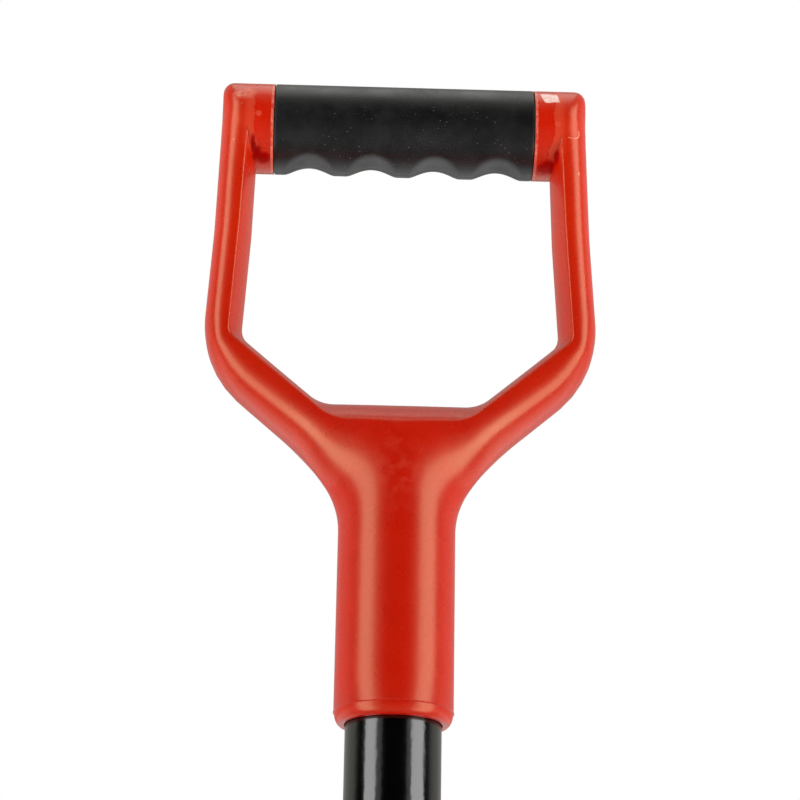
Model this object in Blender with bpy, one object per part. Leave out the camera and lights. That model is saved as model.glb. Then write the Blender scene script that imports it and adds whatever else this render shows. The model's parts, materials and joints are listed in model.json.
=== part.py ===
# Digging spade: a pressed steel blade with a rolled socket and welded treads, a
# round steel shaft tube, and a moulded D handle whose crossbar wears a soft
# rubber grip with four finger hollows.
#
# Metres, +Z up along the shaft. The cutting edge rests on Z = 0 and the shaft
# axis is X = Y = 0. The front of the blade faces -Y.

import math

import bmesh
import bpy
from mathutils import Matrix, Vector

# Whole tool
OVERALL_LENGTH = 1.040
SEAT_GAP = 0.0003

# Shaft tube
TUBE_DIAMETER = 0.032
TUBE_WALL = 0.0015
TUBE_SIDES = 48

# Crossbar and its grip
BAR_DIAMETER = 0.0324
CORE_DIAMETER = 0.0210
GRIP_LENGTH = 0.0922
BAR_CHAMFER = 0.0006
FINGER_COUNT = 4
FINGER_PITCH = 0.0224
FINGER_DEPTH = 0.0025
FINGER_RADIUS = 0.0109
FINGER_SHOULDER = 0.0025
FINGER_RIM = 0.0010
FINGER_WRAP = math.radians(48)
GRIP_LOWER_SIDES = 19
GRIP_UPPER_SIDES = 9
GRIP_LOWER_MARGIN = math.radians(52)
HOLLOW_SHARES = (-1.0, -0.86, -0.72, -0.5, -0.25, 0.0, 0.25, 0.5, 0.72, 0.86, 1.0)

# Sleeve and funnel of the D handle, with heights above the sleeve's lower edge
BAR_HEIGHT = 0.2140
SLEEVE_WALL = 0.0036
SLEEVE_LENGTH = 0.0625
SLEEVE_LIP = 0.0040
LIP_RIDGE = 0.0002
SOCKET_DEPTH = 0.0600
THROAT_ANGLE = math.radians(56)
THROAT_RADIUS = 0.0290
THROAT_HALF_WIDTH = 0.0322
FUNNEL_RADIUS = 0.0900

# Arms of the D handle
DIAGONAL_ANGLE = math.radians(41)
DIAGONAL_WIDTH = 0.0168
ELBOW_HALF_WIDTH = 0.0691
ELBOW_RADIUS = 0.0360
ARM_BEND_HEIGHT = 0.1710
ARM_BEND_HALF_WIDTH = 0.06635
ARM_BEND_RADIUS = 0.150
ARM_TOP_HALF_WIDTH = 0.0649
ARM_WIDTH = 0.0131
TOP_CORNER_RADIUS = 0.0040

# Hand opening inside the D
CROTCH_HEIGHT = 0.1082
CROTCH_RADIUS = 0.0134
INNER_ELBOW_RADIUS = 0.0090
CROTCH_HALF_DEPTH = 0.0186
ARM_HALF_DEPTH = 0.0140
ARM_SWELL = 6

# Crease between the D's front face and the side wall of its opening: how far the
# wall runs outwards from the parting line to it
CROTCH_WALL_RUN = 0.0115
DIAGONAL_WALL_RUN = 0.0046
ARM_WALL_RUN = 0.0038
TOP_WALL_RUN = 0.0031
WALL_BULGE = 0.85
CROTCH_CREASE_SLOPE = math.radians(3)
CROTCH_CREASE_RADIUS = 0.0160
ELBOW_CREASE_RADIUS = 0.0050
CROTCH_FILLET = 0.0016
CREASE_FILLET = 0.0009
FILLET_FADE = 0.0120
FILLET_DROP = 0.85
SQUEEZE_SHARE = 0.72
MITRE_SOFTNESS = 0.0030
MITRE_ONSET = 2.0
MITRE_LIMIT = 0.8
MITRE_EXCESS = 0.0003

# Roundness of the D's section: 2 is an ellipse and more is squarer. Its front face
# stays flat further from the outline than the rounding reach.
SLEEVE_ROUNDNESS = 2.0
FUNNEL_ROUNDNESS = 1.9
ARM_ROUNDNESS = 2.6
ROUNDING_REACH = 0.0255
REACH_SOFTNESS = 0.0045

# Rows and columns of points on a quarter of the D
ACROSS_STEPS = 9
LIP_STEPS = 4
THROAT_STEPS = 8
OPENING_STEPS = (5, 5, 5, 6)
ARM_STEPS = 10
FILLET_STEPS = 2
WALL_STEPS = 4
CORNER_STEPS = (3, 4)

# Screw that holds the handle on the tube, from behind
SCREW_HEIGHT = 0.0300
SCREW_DIAMETER = 0.0045
SCREW_HEAD_DIAMETER = 0.0090
SCREW_HEAD_HEIGHT = 0.0024
SCREW_REACH = 0.0035
SCREW_SINK = 0.00144
SCREW_POINT_LENGTH = 0.0018
SCREW_POINT_RADIUS = 0.0012

# Blade
BLADE_LENGTH = 0.290
BLADE_TOP_WIDTH = 0.190
BLADE_TIP_WIDTH = 0.168
BLADE_THICKNESS = 0.0022
EDGE_THICKNESS = 0.0006
EDGE_BEVEL = 0.009
EDGE_RISE = 0.006
TIP_CORNER_RADIUS = 0.014
BLADE_DISH = 0.004
WING_TOP_Y = 0.0030
WING_TIP_Y = -0.0060
FROG_LENGTH = 0.190
FROG_FLANK_RADIUS = 0.0070
NECK_MARGIN = 0.0030
NECK_FILLET = 0.0080
NECK_HOLD = 0.0140
CLOSING_EASE = 0.7
WING_BEND_EASE = 1.5

# Rows and columns of points on half of the blade's sheet
ROLLED_COLUMNS = 11
WING_COLUMNS = 5
WING_COLUMN_EASE = 1.6
BLADE_ROWS = 18
NECK_ROW_SHARES = (0.13, 0.45, 1.0)
CLOSING_ROWS = 7
SOCKET_ROWS = 5
SECTION_STEP = 0.0005

# Socket rolled from the blade
SOCKET_LENGTH = 0.155
SOCKET_CLOSING = 0.046
SOCKET_NECK_RADIUS = 0.0158
SEAM_WIDTH = 0.0010

# Rivets through the socket and the tube
RIVET_DIAMETER = 0.006
RIVET_HEAD_DIAMETER = 0.0110
RIVET_HEAD_HEIGHT = 0.0026
UPPER_RIVET_DROP = 0.025
RIVET_SPACING = 0.045
PIN_SIDES = 20
PIN_DOME_STEPS = 4

# Treads and welds
TREAD_LENGTH = 0.056
TREAD_DEPTH = 0.0140
TREAD_THICKNESS = 0.0040
TREAD_CORNER = 0.0045
TREAD_EDGE_ROUND = 0.0007
WELD_LEG = 0.0032
WELD_INSET = 0.0040
SEAM_WELD_WIDTH = 0.0052
SEAM_WELD_HEIGHT = 0.0013
SEAM_WELD_RIM = 0.0002
SEAM_WELD_START = 0.006
SEAM_WELD_END = 0.004
WELD_HOLLOW = 0.22
WELD_END_SHARE = 0.12
WELD_END_EASE = 0.35

# Steps round the treads' corners, and along and across the beads
TREAD_CORNER_STEPS = 4
TREAD_RIM_STEPS = 2
WELD_STEPS = 8
WELD_BELLY_STEPS = 4
SEAM_WELD_STEPS = 10
SEAM_WELD_ACROSS = 6

# Sizes worked out from the driving dimensions
TUBE_RADIUS = TUBE_DIAMETER / 2
BAR_RADIUS = BAR_DIAMETER / 2
CORE_RADIUS = CORE_DIAMETER / 2
BORE_RADIUS = TUBE_RADIUS + SEAT_GAP
SLEEVE_RADIUS = BORE_RADIUS + SLEEVE_WALL
BAR_Z = OVERALL_LENGTH - BAR_RADIUS
SLEEVE_Z = BAR_Z - BAR_HEIGHT
TOP_HEIGHT = BAR_HEIGHT + BAR_RADIUS
BARREL_END = GRIP_LENGTH / 2 + SEAT_GAP
SOCKET_TOP_Z = BLADE_LENGTH + SOCKET_LENGTH
SOCKET_MID_RADIUS = TUBE_RADIUS + SEAT_GAP + BLADE_THICKNESS / 2
SOCKET_OUTER_RADIUS = SOCKET_MID_RADIUS + BLADE_THICKNESS / 2
TUBE_BOTTOM_Z = BLADE_LENGTH + SOCKET_CLOSING
TUBE_TOP_Z = SLEEVE_Z + SOCKET_DEPTH - SEAT_GAP


# Helpers

def clear_scene():
    for old in list(bpy.data.objects):
        bpy.data.objects.remove(old, do_unlink=True)


def material(name, colour, roughness, metallic=0.0):
    made = bpy.data.materials.new(name)
    made.use_nodes = True
    shader = made.node_tree.nodes["Principled BSDF"]
    shader.inputs["Base Color"].default_value = (*colour, 1.0)
    shader.inputs["Roughness"].default_value = roughness
    shader.inputs["Metallic"].default_value = metallic
    return made


def make_object(name, bm, finish, sharp=math.radians(35)):
    """Turns a bmesh into a smooth shaded object of the scene."""
    mesh = bpy.data.meshes.new(name)
    bm.to_mesh(mesh)
    bm.free()
    mesh.shade_smooth()
    mesh.set_sharp_from_angle(angle=sharp)
    made = bpy.data.objects.new(name, mesh)
    bpy.context.scene.collection.objects.link(made)
    if finish is not None:
        mesh.materials.append(finish)
    return made


def smooth(t):
    t = min(max(t, 0.0), 1.0)
    return t * t * (3 - 2 * t)


def mix(a, b, t):
    return a + (b - a) * t


def soft_min(a, b, softness):
    near = max(softness - abs(a - b), 0.0)
    return min(a, b) - near * near / (4 * softness)


def skin_rows(bm, rows, closed=False):
    """Joins rows of points, all with as many points, by faces."""
    grid = [[bm.verts.new(point) for point in row] for row in rows]
    count = len(grid[0])
    for lower, upper in zip(grid, grid[1:]):
        for j in range(count if closed else count - 1):
            k = (j + 1) % count
            bm.faces.new((lower[j], lower[k], upper[k], upper[j]))
    return grid


def weld_points(bm):
    bmesh.ops.remove_doubles(bm, verts=bm.verts, dist=1e-6)
    bmesh.ops.dissolve_degenerate(bm, edges=bm.edges, dist=1e-6)


def lofted(name, rings, finish):
    """A closed solid through rings of points, with a flat cap at each end."""
    bm = bmesh.new()
    grid = skin_rows(bm, rings, closed=True)
    bm.faces.new(list(reversed(grid[0])))
    bm.faces.new(grid[-1])
    bmesh.ops.recalc_face_normals(bm, faces=bm.faces)
    return make_object(name, bm, finish)


def turned(name, profile, sides, finish):
    """A solid turned about Z. The profile runs from axis to axis, or is a closed loop."""
    bm = bmesh.new()
    points = [bm.verts.new((radius, 0, height)) for radius, height in profile]
    edges = [bm.edges.new(pair) for pair in zip(points, points[1:])]
    if profile[0][0] > 0:
        edges.append(bm.edges.new((points[-1], points[0])))
    bmesh.ops.spin(
        bm, geom=points + edges, cent=(0, 0, 0), axis=(0, 0, 1), angle=2 * math.pi, steps=sides,
        use_merge=True,
    )
    weld_points(bm)
    bmesh.ops.recalc_face_normals(bm, faces=bm.faces)
    return make_object(name, bm, finish)


def cutter(name, profile, sides, place):
    """A turned shape that only cuts others."""
    made = turned(name, profile, sides, None)
    made.matrix_world = place
    made.hide_render = True
    made.display_type = "WIRE"
    return made


def cut(target, tool):
    boolean = target.modifiers.new("cut " + tool.name, "BOOLEAN")
    boolean.operation = "DIFFERENCE"
    boolean.solver = "EXACT"
    boolean.object = tool


# Outlines with rounded corners

def rounded_spans(corners, radii):
    """Lines and arcs along a run of corners in the XZ plane.

    Each span is (length, function), whose function gives the point at a share
    of its length.
    """
    spans = []
    start = Vector(corners[0])
    for before, corner, after, radius in zip(corners, corners[1:], corners[2:], radii):
        corner = Vector(corner)
        come = (corner - Vector(before)).normalized()
        leave = (Vector(after) - corner).normalized()
        turn = come.angle_signed(leave) * -1
        reach = radius * math.tan(abs(turn) / 2)
        spans.append(line_span(start, corner - come * reach))
        spans.append(arc_span(corner - come * reach, come, turn, radius))
        start = corner + leave * reach
    spans.append(line_span(start, Vector(corners[-1])))
    return spans


def line_span(start, end):
    return (end - start).length, lambda t: start.lerp(end, t)


def arc_span(start, heading, turn, radius):
    side = Vector((-heading.y, heading.x)) * math.copysign(1, turn)
    centre = start + side * radius

    return abs(turn) * radius, lambda t: centre + Matrix.Rotation(turn * t, 2) @ (start - centre)


def along(spans, distance):
    """The point at a distance along the spans."""
    for length, at in spans[:-1]:
        if distance <= length:
            return at(distance / length)
        distance -= length
    length, at = spans[-1]
    return at(distance / length)


def stops(spans):
    """The distance at which each span starts, and the whole length."""
    total = [0.0]
    for length, _ in spans:
        total.append(total[-1] + length)
    return total


def nearest_along(spans, start, end, point):
    """Distance along the spans, between two others, that comes nearest to a point."""
    samples = 40
    for _ in range(4):
        places = [mix(start, end, k / samples) for k in range(samples + 1)]
        best = min(places, key=lambda place: (along(spans, place) - point).length)
        step = (end - start) / samples
        start, end = max(best - step, start), min(best + step, end)
    return (start + end) / 2


# D handle moulding

def crossing(start, slope, other, other_slope):
    """Where two sloping lines of the XZ plane cross."""
    x = (other[1] - start[1] + slope * start[0] - other_slope * other[0]) / (slope - other_slope)
    return x, start[1] + slope * (x - start[0])


def outer_corners():
    """Corners of the D's outer outline, from the sleeve's lower edge to the top's middle."""
    slope = math.tan(DIAGONAL_ANGLE)
    throat_turn = math.pi / 2 - THROAT_ANGLE
    throat = (SLEEVE_RADIUS, SLEEVE_LENGTH + THROAT_RADIUS * math.tan(throat_turn / 2))
    throat_rise = (THROAT_HALF_WIDTH - SLEEVE_RADIUS) * math.tan(THROAT_ANGLE)
    funnel = (THROAT_HALF_WIDTH, throat[1] + throat_rise)
    elbow = (ELBOW_HALF_WIDTH, funnel[1] + (ELBOW_HALF_WIDTH - THROAT_HALF_WIDTH) * slope)
    bend = (ARM_BEND_HALF_WIDTH, ARM_BEND_HEIGHT)
    top = (ARM_TOP_HALF_WIDTH, TOP_HEIGHT)
    return [(SLEEVE_RADIUS, 0.0), throat, funnel, elbow, bend, top, (0.0, TOP_HEIGHT)]


def handle_outlines():
    """The right half's outer outline, hand opening and crease, seen from the front."""
    corners = outer_corners()
    outer = rounded_spans(
        corners, [THROAT_RADIUS, FUNNEL_RADIUS, ELBOW_RADIUS, ARM_BEND_RADIUS, TOP_CORNER_RADIUS],
    )
    funnel, elbow, bend, top = corners[2:6]
    # The diagonal's inner edge is parallel to its outer edge, and the arm's to the arm.
    slope = math.tan(DIAGONAL_ANGLE)
    arm_slope = (bend[1] - elbow[1]) / (bend[0] - elbow[0])
    diagonal = (funnel[0], funnel[1] + DIAGONAL_WIDTH / math.cos(DIAGONAL_ANGLE))
    inner_bend = (bend[0] - ARM_WIDTH, bend[1])
    inner_top = (top[0] - ARM_WIDTH, top[1])
    crotch = crossing((0.0, CROTCH_HEIGHT), 0.0, diagonal, slope)
    inner_elbow = crossing(inner_bend, arm_slope, diagonal, slope)
    inner = rounded_spans(
        [(0.0, CROTCH_HEIGHT), crotch, inner_elbow, inner_bend, inner_top],
        [CROTCH_RADIUS, INNER_ELBOW_RADIUS, ARM_BEND_RADIUS],
    )
    crease_middle = (0.0, CROTCH_HEIGHT - CROTCH_WALL_RUN)
    crease_diagonal = (diagonal[0], diagonal[1] - DIAGONAL_WALL_RUN / math.cos(DIAGONAL_ANGLE))
    crease_bend = (inner_bend[0] + ARM_WALL_RUN, inner_bend[1])
    crease_top = (inner_top[0] + TOP_WALL_RUN, inner_top[1])
    crease_crotch = crossing(crease_middle, math.tan(CROTCH_CREASE_SLOPE), crease_diagonal, slope)
    crease_elbow = crossing(crease_bend, arm_slope, crease_diagonal, slope)
    crease = rounded_spans(
        [crease_middle, crease_crotch, crease_elbow, crease_bend, crease_top],
        [CROTCH_CREASE_RADIUS, ELBOW_CREASE_RADIUS, ARM_BEND_RADIUS],
    )
    return outer, inner, crease


def arm_half_depth(height):
    """The arm's front face swells to meet the crossbar near the top."""
    rise = (height - ARM_BEND_HEIGHT) / (BAR_HEIGHT - ARM_BEND_HEIGHT)
    return mix(ARM_HALF_DEPTH, BAR_RADIUS, min(max(rise, 0.0), 1.0) ** ARM_SWELL)


def bar_half_depth(height):
    return math.sqrt(max(BAR_RADIUS**2 - (height - BAR_HEIGHT) ** 2, 0.0))


def bar_meets_wall(share):
    """Height at which the opening's side wall, at a share of its depth, runs into the bar."""
    low, high = BAR_HEIGHT - BAR_RADIUS, BAR_HEIGHT - 0.1 * BAR_RADIUS
    for _ in range(40):
        middle = (low + high) / 2
        if share * arm_half_depth(middle) > bar_half_depth(middle):
            low = middle
        else:
            high = middle
    return (low + high) / 2


def wall_curve(share):
    """How far out the bulging side wall is at a share of its depth."""
    return mix(share, share * share, WALL_BULGE)


def front_row(start, end, half_depth, roundness):
    """From a point on the front face round to the outline on the middle plane."""
    length = (end - start).length
    reach = soft_min(length, ROUNDING_REACH, REACH_SOFTNESS) / length
    row = [(start.x, -half_depth, start.y)]
    for j in range(1, ACROSS_STEPS + 1):
        angle = math.pi / 2 * j / ACROSS_STEPS
        depth = math.cos(angle) ** (2 / roundness) if j < ACROSS_STEPS else 0.0
        point = start.lerp(end, 1 - reach * (1 - math.sin(angle) ** (2 / roundness)))
        row.append((point.x, -half_depth * depth, point.y))
    return row


def ring_row(radius, height):
    """A quarter ring about the sleeve's axis."""
    row = []
    for j in range(ACROSS_STEPS + 1):
        angle = math.pi / 2 * j / ACROSS_STEPS
        across = math.sin(angle) if j else 0.0
        depth = math.cos(angle) if j < ACROSS_STEPS else 0.0
        row.append((radius * across, -radius * depth, height))
    return row


def bar_row(x, radius, first_angle):
    """Round the front of the bar, from an angle up to its top."""
    row = []
    for j in range(ACROSS_STEPS + 1):
        angle = mix(first_angle, math.pi / 2, j / ACROSS_STEPS)
        on_plane = j == ACROSS_STEPS or (j == 0 and first_angle <= -math.pi / 2)
        depth = 0.0 if on_plane else math.cos(angle)
        row.append((x, -radius * depth, BAR_HEIGHT + radius * math.sin(angle)))
    return row


def opening_stations(outlines):
    """Distances along the three outlines at which the rows round the opening lie.

    Each row runs from the crease straight to the nearest place of the outer outline.
    """
    outer, inner, crease = outlines
    outer_stops, inner_stops, crease_stops = [stops(outline) for outline in outlines]
    stations = []
    for span, steps in enumerate(OPENING_STEPS):
        for k in range(0 if span == 0 else 1, steps + 1):
            share = k / steps
            at_inner = mix(inner_stops[span], inner_stops[span + 1], share)
            at_crease = mix(crease_stops[span], crease_stops[span + 1], share)
            at_outer = nearest_along(outer, outer_stops[1], outer_stops[7], along(crease, at_crease))
            stations.append((at_outer, at_inner, at_crease))
    return stations


def handle_rows():
    """Rows of points over a quarter of the moulding: X and -Y are its own side."""
    outlines = handle_outlines()
    outer, inner, crease = outlines
    outer_stops, inner_stops = stops(outer), stops(inner)

    def arm_wall(share, height):
        """A point of the side wall: share 0 on the parting line, 1 on the crease."""
        x = []
        for outline in (inner, crease):
            start, end = outline[-1][1](0), outline[-1][1](1)
            x.append(mix(start.x, end.x, (height - start.y) / (end.y - start.y)))
        return Vector((mix(x[0], x[1], wall_curve(share)), -share * arm_half_depth(height), height))

    apex_height = bar_meets_wall(1.0)
    apex = arm_wall(1.0, apex_height)

    # The socket's end, its bore and the rounded lower lip
    front = [ring_row(0.0, SOCKET_DEPTH), ring_row(BORE_RADIUS, SOCKET_DEPTH)]
    front.append(ring_row(BORE_RADIUS, -SLEEVE_LIP))
    lip_inner = BORE_RADIUS + SLEEVE_WALL / 4
    for k in range(LIP_STEPS + 1):
        angle = math.pi / 2 * k / LIP_STEPS
        radius = mix(lip_inner, SLEEVE_RADIUS - LIP_RIDGE, math.sin(angle))
        front.append(ring_row(radius, -SLEEVE_LIP * math.cos(angle)))
    front.append(ring_row(SLEEVE_RADIUS + LIP_RIDGE, LIP_RIDGE))
    front.append(ring_row(SLEEVE_RADIUS, 4 * LIP_RIDGE))

    # Sleeve and throat, whose rows start on the front centre line
    front.append(ring_row(SLEEVE_RADIUS, SLEEVE_LENGTH))
    stations = opening_stations(outlines)
    crease_height = CROTCH_HEIGHT - CROTCH_WALL_RUN - CROTCH_FILLET
    for k in range(1, THROAT_STEPS):
        share = k / THROAT_STEPS
        start = Vector((0.0, mix(SLEEVE_LENGTH, crease_height, share)))
        end = along(outer, mix(outer_stops[1], stations[0][0], share))
        half_depth = mix(SLEEVE_RADIUS, CROTCH_HALF_DEPTH, smooth(share))
        roundness = mix(SLEEVE_ROUNDNESS, FUNNEL_ROUNDNESS, smooth(share))
        front.append(front_row(start, end, half_depth, roundness))

    # Rows round the hand opening, each with its side wall
    walls = []
    elbow_marks = stations[-1]
    elbow_heights = [along(line, at).y for line, at in zip(outlines, elbow_marks)]
    for k in range(1, ARM_STEPS):
        share = k / ARM_STEPS
        stations.append([
            mark + (apex_height - height) * share
            for mark, height in zip(elbow_marks, elbow_heights)
        ])
    squeeze_from = mix(elbow_heights[1], apex_height, SQUEEZE_SHARE)
    for at_outer, at_inner, at_crease in stations:
        end, crest, edge = along(outer, at_outer), along(inner, at_inner), along(crease, at_crease)
        height = crest.y
        depth_share = smooth(at_inner / inner_stops[3])
        half_depth = mix(CROTCH_HALF_DEPTH, arm_half_depth(height), depth_share)
        roundness = mix(FUNNEL_ROUNDNESS, ARM_ROUNDNESS, depth_share)
        fading = min(max((apex_height - height) / FILLET_FADE, 0.0), 1.0)
        fillet = mix(CROTCH_FILLET, CREASE_FILLET, smooth(at_inner / inner_stops[2])) * fading
        shoulder = edge + (edge - crest).normalized() * fillet
        front.append(front_row(shoulder, end, half_depth, roundness))

        # The wall below the fillet; its upper rows bend to follow the bar's underside.
        first_share = 1 - FILLET_DROP * fillet / half_depth
        wall = []
        for j in range(WALL_STEPS + 1):
            share = mix(first_share, 0.0, j / WALL_STEPS)
            if height > squeeze_from:
                rise = (height - squeeze_from) / (apex_height - squeeze_from)
                wall.append(arm_wall(share, mix(squeeze_from, bar_meets_wall(share), rise)))
            else:
                place = crest.lerp(edge, wall_curve(share))
                wall.append(Vector((place.x, -share * half_depth, place.y)))
        first = Vector(front[-1][0])
        corner = Vector((edge.x, -half_depth, edge.y))
        rounding = []
        for j in range(FILLET_STEPS):
            share = j / FILLET_STEPS
            rounding.append(first.lerp(corner, share).lerp(corner.lerp(wall[0], share), share))
        walls.append(rounding + wall)
    arm_top = along(outer, elbow_marks[0] + apex_height - elbow_heights[0])
    front.append(front_row(apex.xz, arm_top, -apex.y, ARM_ROUNDNESS))
    walls.append([Vector(apex)] * len(walls[0]))

    front.extend(cap_rows(apex, outer, outer_stops))

    # The bar leaves the side wall
    for j in range(1, WALL_STEPS + 1):
        share = 1 - j / WALL_STEPS
        height = bar_meets_wall(share)
        point = arm_wall(share, height)
        first_angle = math.asin(max((height - BAR_HEIGHT) / BAR_RADIUS, -1.0))
        if j == WALL_STEPS:
            first_angle = -math.pi / 2
            point = Vector((point.x, 0.0, BAR_HEIGHT - BAR_RADIUS))
        walls[-1][FILLET_STEPS + j] = point
        front.append([point] + bar_row(point.x, BAR_RADIUS, first_angle)[1:])

    # Barrel end, its small chamfer and the core that the grip is moulded on
    for x, radius in (
        (BARREL_END + BAR_CHAMFER, BAR_RADIUS), (BARREL_END, BAR_RADIUS - BAR_CHAMFER),
        (BARREL_END, CORE_RADIUS), (0.0, CORE_RADIUS),
    ):
        front.append(bar_row(x, radius, -math.pi / 2))
    return front, walls


def cap_rows(apex, outer, outer_stops):
    """A fan of rows from the crease's upper end round the mitred top corner."""
    pivot = Vector((apex.x, apex.z))
    at_apex = outer_stops[6] + (apex.z - along(outer, outer_stops[6]).y)
    side_steps, corner_steps = CORNER_STEPS
    ends = [
        along(outer, mix(at_apex, outer_stops[9], (k + 1) / side_steps)) for k in range(side_steps)
    ]
    ends += [
        along(outer, mix(outer_stops[9], outer_stops[10], (k + 1) / corner_steps))
        for k in range(corner_steps)
    ]
    ends.append(Vector((apex.x, TOP_HEIGHT)))
    rows = []
    for end in ends:
        toward = end - pivot
        side = (ARM_TOP_HALF_WIDTH - pivot.x) / toward.x if toward.x > 1e-6 else math.inf
        roof = (TOP_HEIGHT - pivot.y) / toward.y if toward.y > 1e-6 else math.inf
        sharp = pivot + toward * min(side, roof)
        row = [tuple(apex)]
        for j in range(1, ACROSS_STEPS + 1):
            share = math.sin(math.pi / 2 * j / ACROSS_STEPS)
            place = pivot.lerp(end, share)
            depth = cap_half_depth(pivot.lerp(sharp, share), pivot) if j < ACROSS_STEPS else 0.0
            row.append((place.x, -depth, place.y))
        rows.append(row)
    return rows


def cap_half_depth(point, pivot):
    """Half depth of the top corner: the arm's round side mitred with the round bar."""
    rise = (point.y - pivot.y) / (BAR_HEIGHT - pivot.y)
    full = mix(bar_half_depth(pivot.y), BAR_RADIUS + MITRE_EXCESS, smooth(rise))
    across = min(max((point.x - pivot.x) / (ARM_TOP_HALF_WIDTH - pivot.x), 0.0), 1.0)
    side = full * (1 - across**ARM_ROUNDNESS) ** (1 / ARM_ROUNDNESS)
    bar = bar_half_depth(point.y)
    least = min(side, bar)
    softness = min(MITRE_SOFTNESS, MITRE_ONSET * (full - least), MITRE_LIMIT * least)
    return soft_min(side, bar, softness) if softness > 0 else least


def build_yoke(finish):
    front, walls = handle_rows()
    bm = bmesh.new()
    skin_rows(bm, front)
    skin_rows(bm, [list(reversed(row)) for row in walls])
    weld_points(bm)
    yoke = make_object("yoke", bm, finish)
    yoke.location.z = SLEEVE_Z
    mirror = yoke.modifiers.new("four quarters", "MIRROR")
    mirror.use_axis = (True, True, False)
    mirror.merge_threshold = 0.00001
    return yoke


# Grip

def finger_profile(x):
    """Depth of the finger hollows along the bar: round floors with rounded shoulders."""
    nearest = min(abs(x - (k - (FINGER_COUNT - 1) / 2) * FINGER_PITCH) for k in range(FINGER_COUNT))
    level = FINGER_RADIUS - FINGER_DEPTH
    hollow = math.sqrt(max(FINGER_RADIUS**2 - nearest**2, 0.0)) - level
    return -soft_min(-hollow, 0.0, FINGER_SHOULDER)


def grip_radius(x, angle):
    """Radius of the grip; the angle is measured from its underside towards the back."""
    depth = finger_profile(x)
    beyond = max(-angle, angle - FINGER_WRAP, 0.0)
    if depth <= 0.0 or beyond >= math.pi / 2:
        return BAR_RADIUS
    return soft_min(BAR_RADIUS, (BAR_RADIUS - depth) / math.cos(beyond), min(FINGER_RIM, depth))


def grip_stations():
    """Places along the grip: its chamfered ends, and each hollow's shoulders and arc."""
    level = FINGER_RADIUS - FINGER_DEPTH - FINGER_SHOULDER
    half_width = math.sqrt(FINGER_RADIUS**2 - level**2)
    places = [-GRIP_LENGTH / 2, -GRIP_LENGTH / 2 + BAR_CHAMFER]
    for k in range(FINGER_COUNT):
        centre = (k - (FINGER_COUNT - 1) / 2) * FINGER_PITCH
        for share in HOLLOW_SHARES:
            places.append(centre + share * half_width)
    places += [GRIP_LENGTH / 2 - BAR_CHAMFER, GRIP_LENGTH / 2]
    return places


def build_grip(finish):
    # More columns on the side with the hollows
    first = -GRIP_LOWER_MARGIN
    last = FINGER_WRAP + GRIP_LOWER_MARGIN
    angles = [mix(first, last, k / GRIP_LOWER_SIDES) for k in range(GRIP_LOWER_SIDES)]
    angles += [mix(last, first + 2 * math.pi, k / GRIP_UPPER_SIDES) for k in range(GRIP_UPPER_SIDES)]
    rings = []
    places = grip_stations()
    inner = CORE_RADIUS + SEAT_GAP
    for index, x in enumerate(places):
        at_end = index in (0, len(places) - 1)
        ring = []
        for angle in angles:
            radius = BAR_RADIUS - BAR_CHAMFER if at_end else grip_radius(x, angle)
            ring.append((x, radius * math.sin(angle), -radius * math.cos(angle)))
        rings.append(ring)
    for x in (places[-1], places[0]):
        rings.append([(x, inner * math.sin(angle), -inner * math.cos(angle)) for angle in angles])
    rings.append(rings[0])
    bm = bmesh.new()
    skin_rows(bm, rings, closed=True)
    weld_points(bm)
    bmesh.ops.recalc_face_normals(bm, faces=bm.faces)
    grip = make_object("grip_sleeve", bm, finish)
    grip.location.z = BAR_Z
    return grip


# Shaft tube

def build_tube(finish):
    inner = TUBE_RADIUS - TUBE_WALL
    length = TUBE_TOP_Z - TUBE_BOTTOM_Z
    profile = [(inner, 0.0), (TUBE_RADIUS, 0.0), (TUBE_RADIUS, length), (inner, length)]
    tube = turned("shaft_tube", profile, TUBE_SIDES, finish)
    tube.location.z = TUBE_BOTTOM_Z
    return tube


# Blade

def closing_share(z):
    """How far the sheet has closed round the tube: 0 at the shoulder, 1 where its edges meet."""
    return smooth((z - BLADE_LENGTH) / SOCKET_CLOSING) ** CLOSING_EASE


def socket_radius(z):
    """Middle radius of the rolled sheet: it narrows below the tube's end."""
    share = smooth((z - BLADE_LENGTH) / SOCKET_CLOSING)
    return mix(SOCKET_NECK_RADIUS, SOCKET_MID_RADIUS, share)


def frog_angle(z):
    """Steepest angle of the frog's flank at a height: none at the frog's lower end."""
    reach = SOCKET_NECK_RADIUS + FROG_FLANK_RADIUS
    steepest = math.acos(1 - (SOCKET_NECK_RADIUS + WING_TOP_Y) / reach)
    share = (z - (BLADE_LENGTH - FROG_LENGTH)) / FROG_LENGTH
    return steepest * smooth(share)


def wing_y(x, z):
    """Middle of the sheet on the flat wings: bent forward to the tip and dished across."""
    share = min(max(1 - z / BLADE_LENGTH, 0.0), 1.0)
    lengthwise = mix(WING_TOP_Y, WING_TIP_Y, share**WING_BEND_EASE)
    return lengthwise - BLADE_DISH * (x / (BLADE_TOP_WIDTH / 2)) ** 2


def sheet_angle(s, z):
    """Angle of the sheet at a developed distance from its centre line."""
    steepest = frog_angle(z)
    crown = SOCKET_NECK_RADIUS * steepest
    if s < crown:
        open_angle = s / SOCKET_NECK_RADIUS
    else:
        open_angle = max(steepest - (s - crown) / FROG_FLANK_RADIUS, 0.0)
    return mix(open_angle, s / socket_radius(z), closing_share(z))


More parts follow.
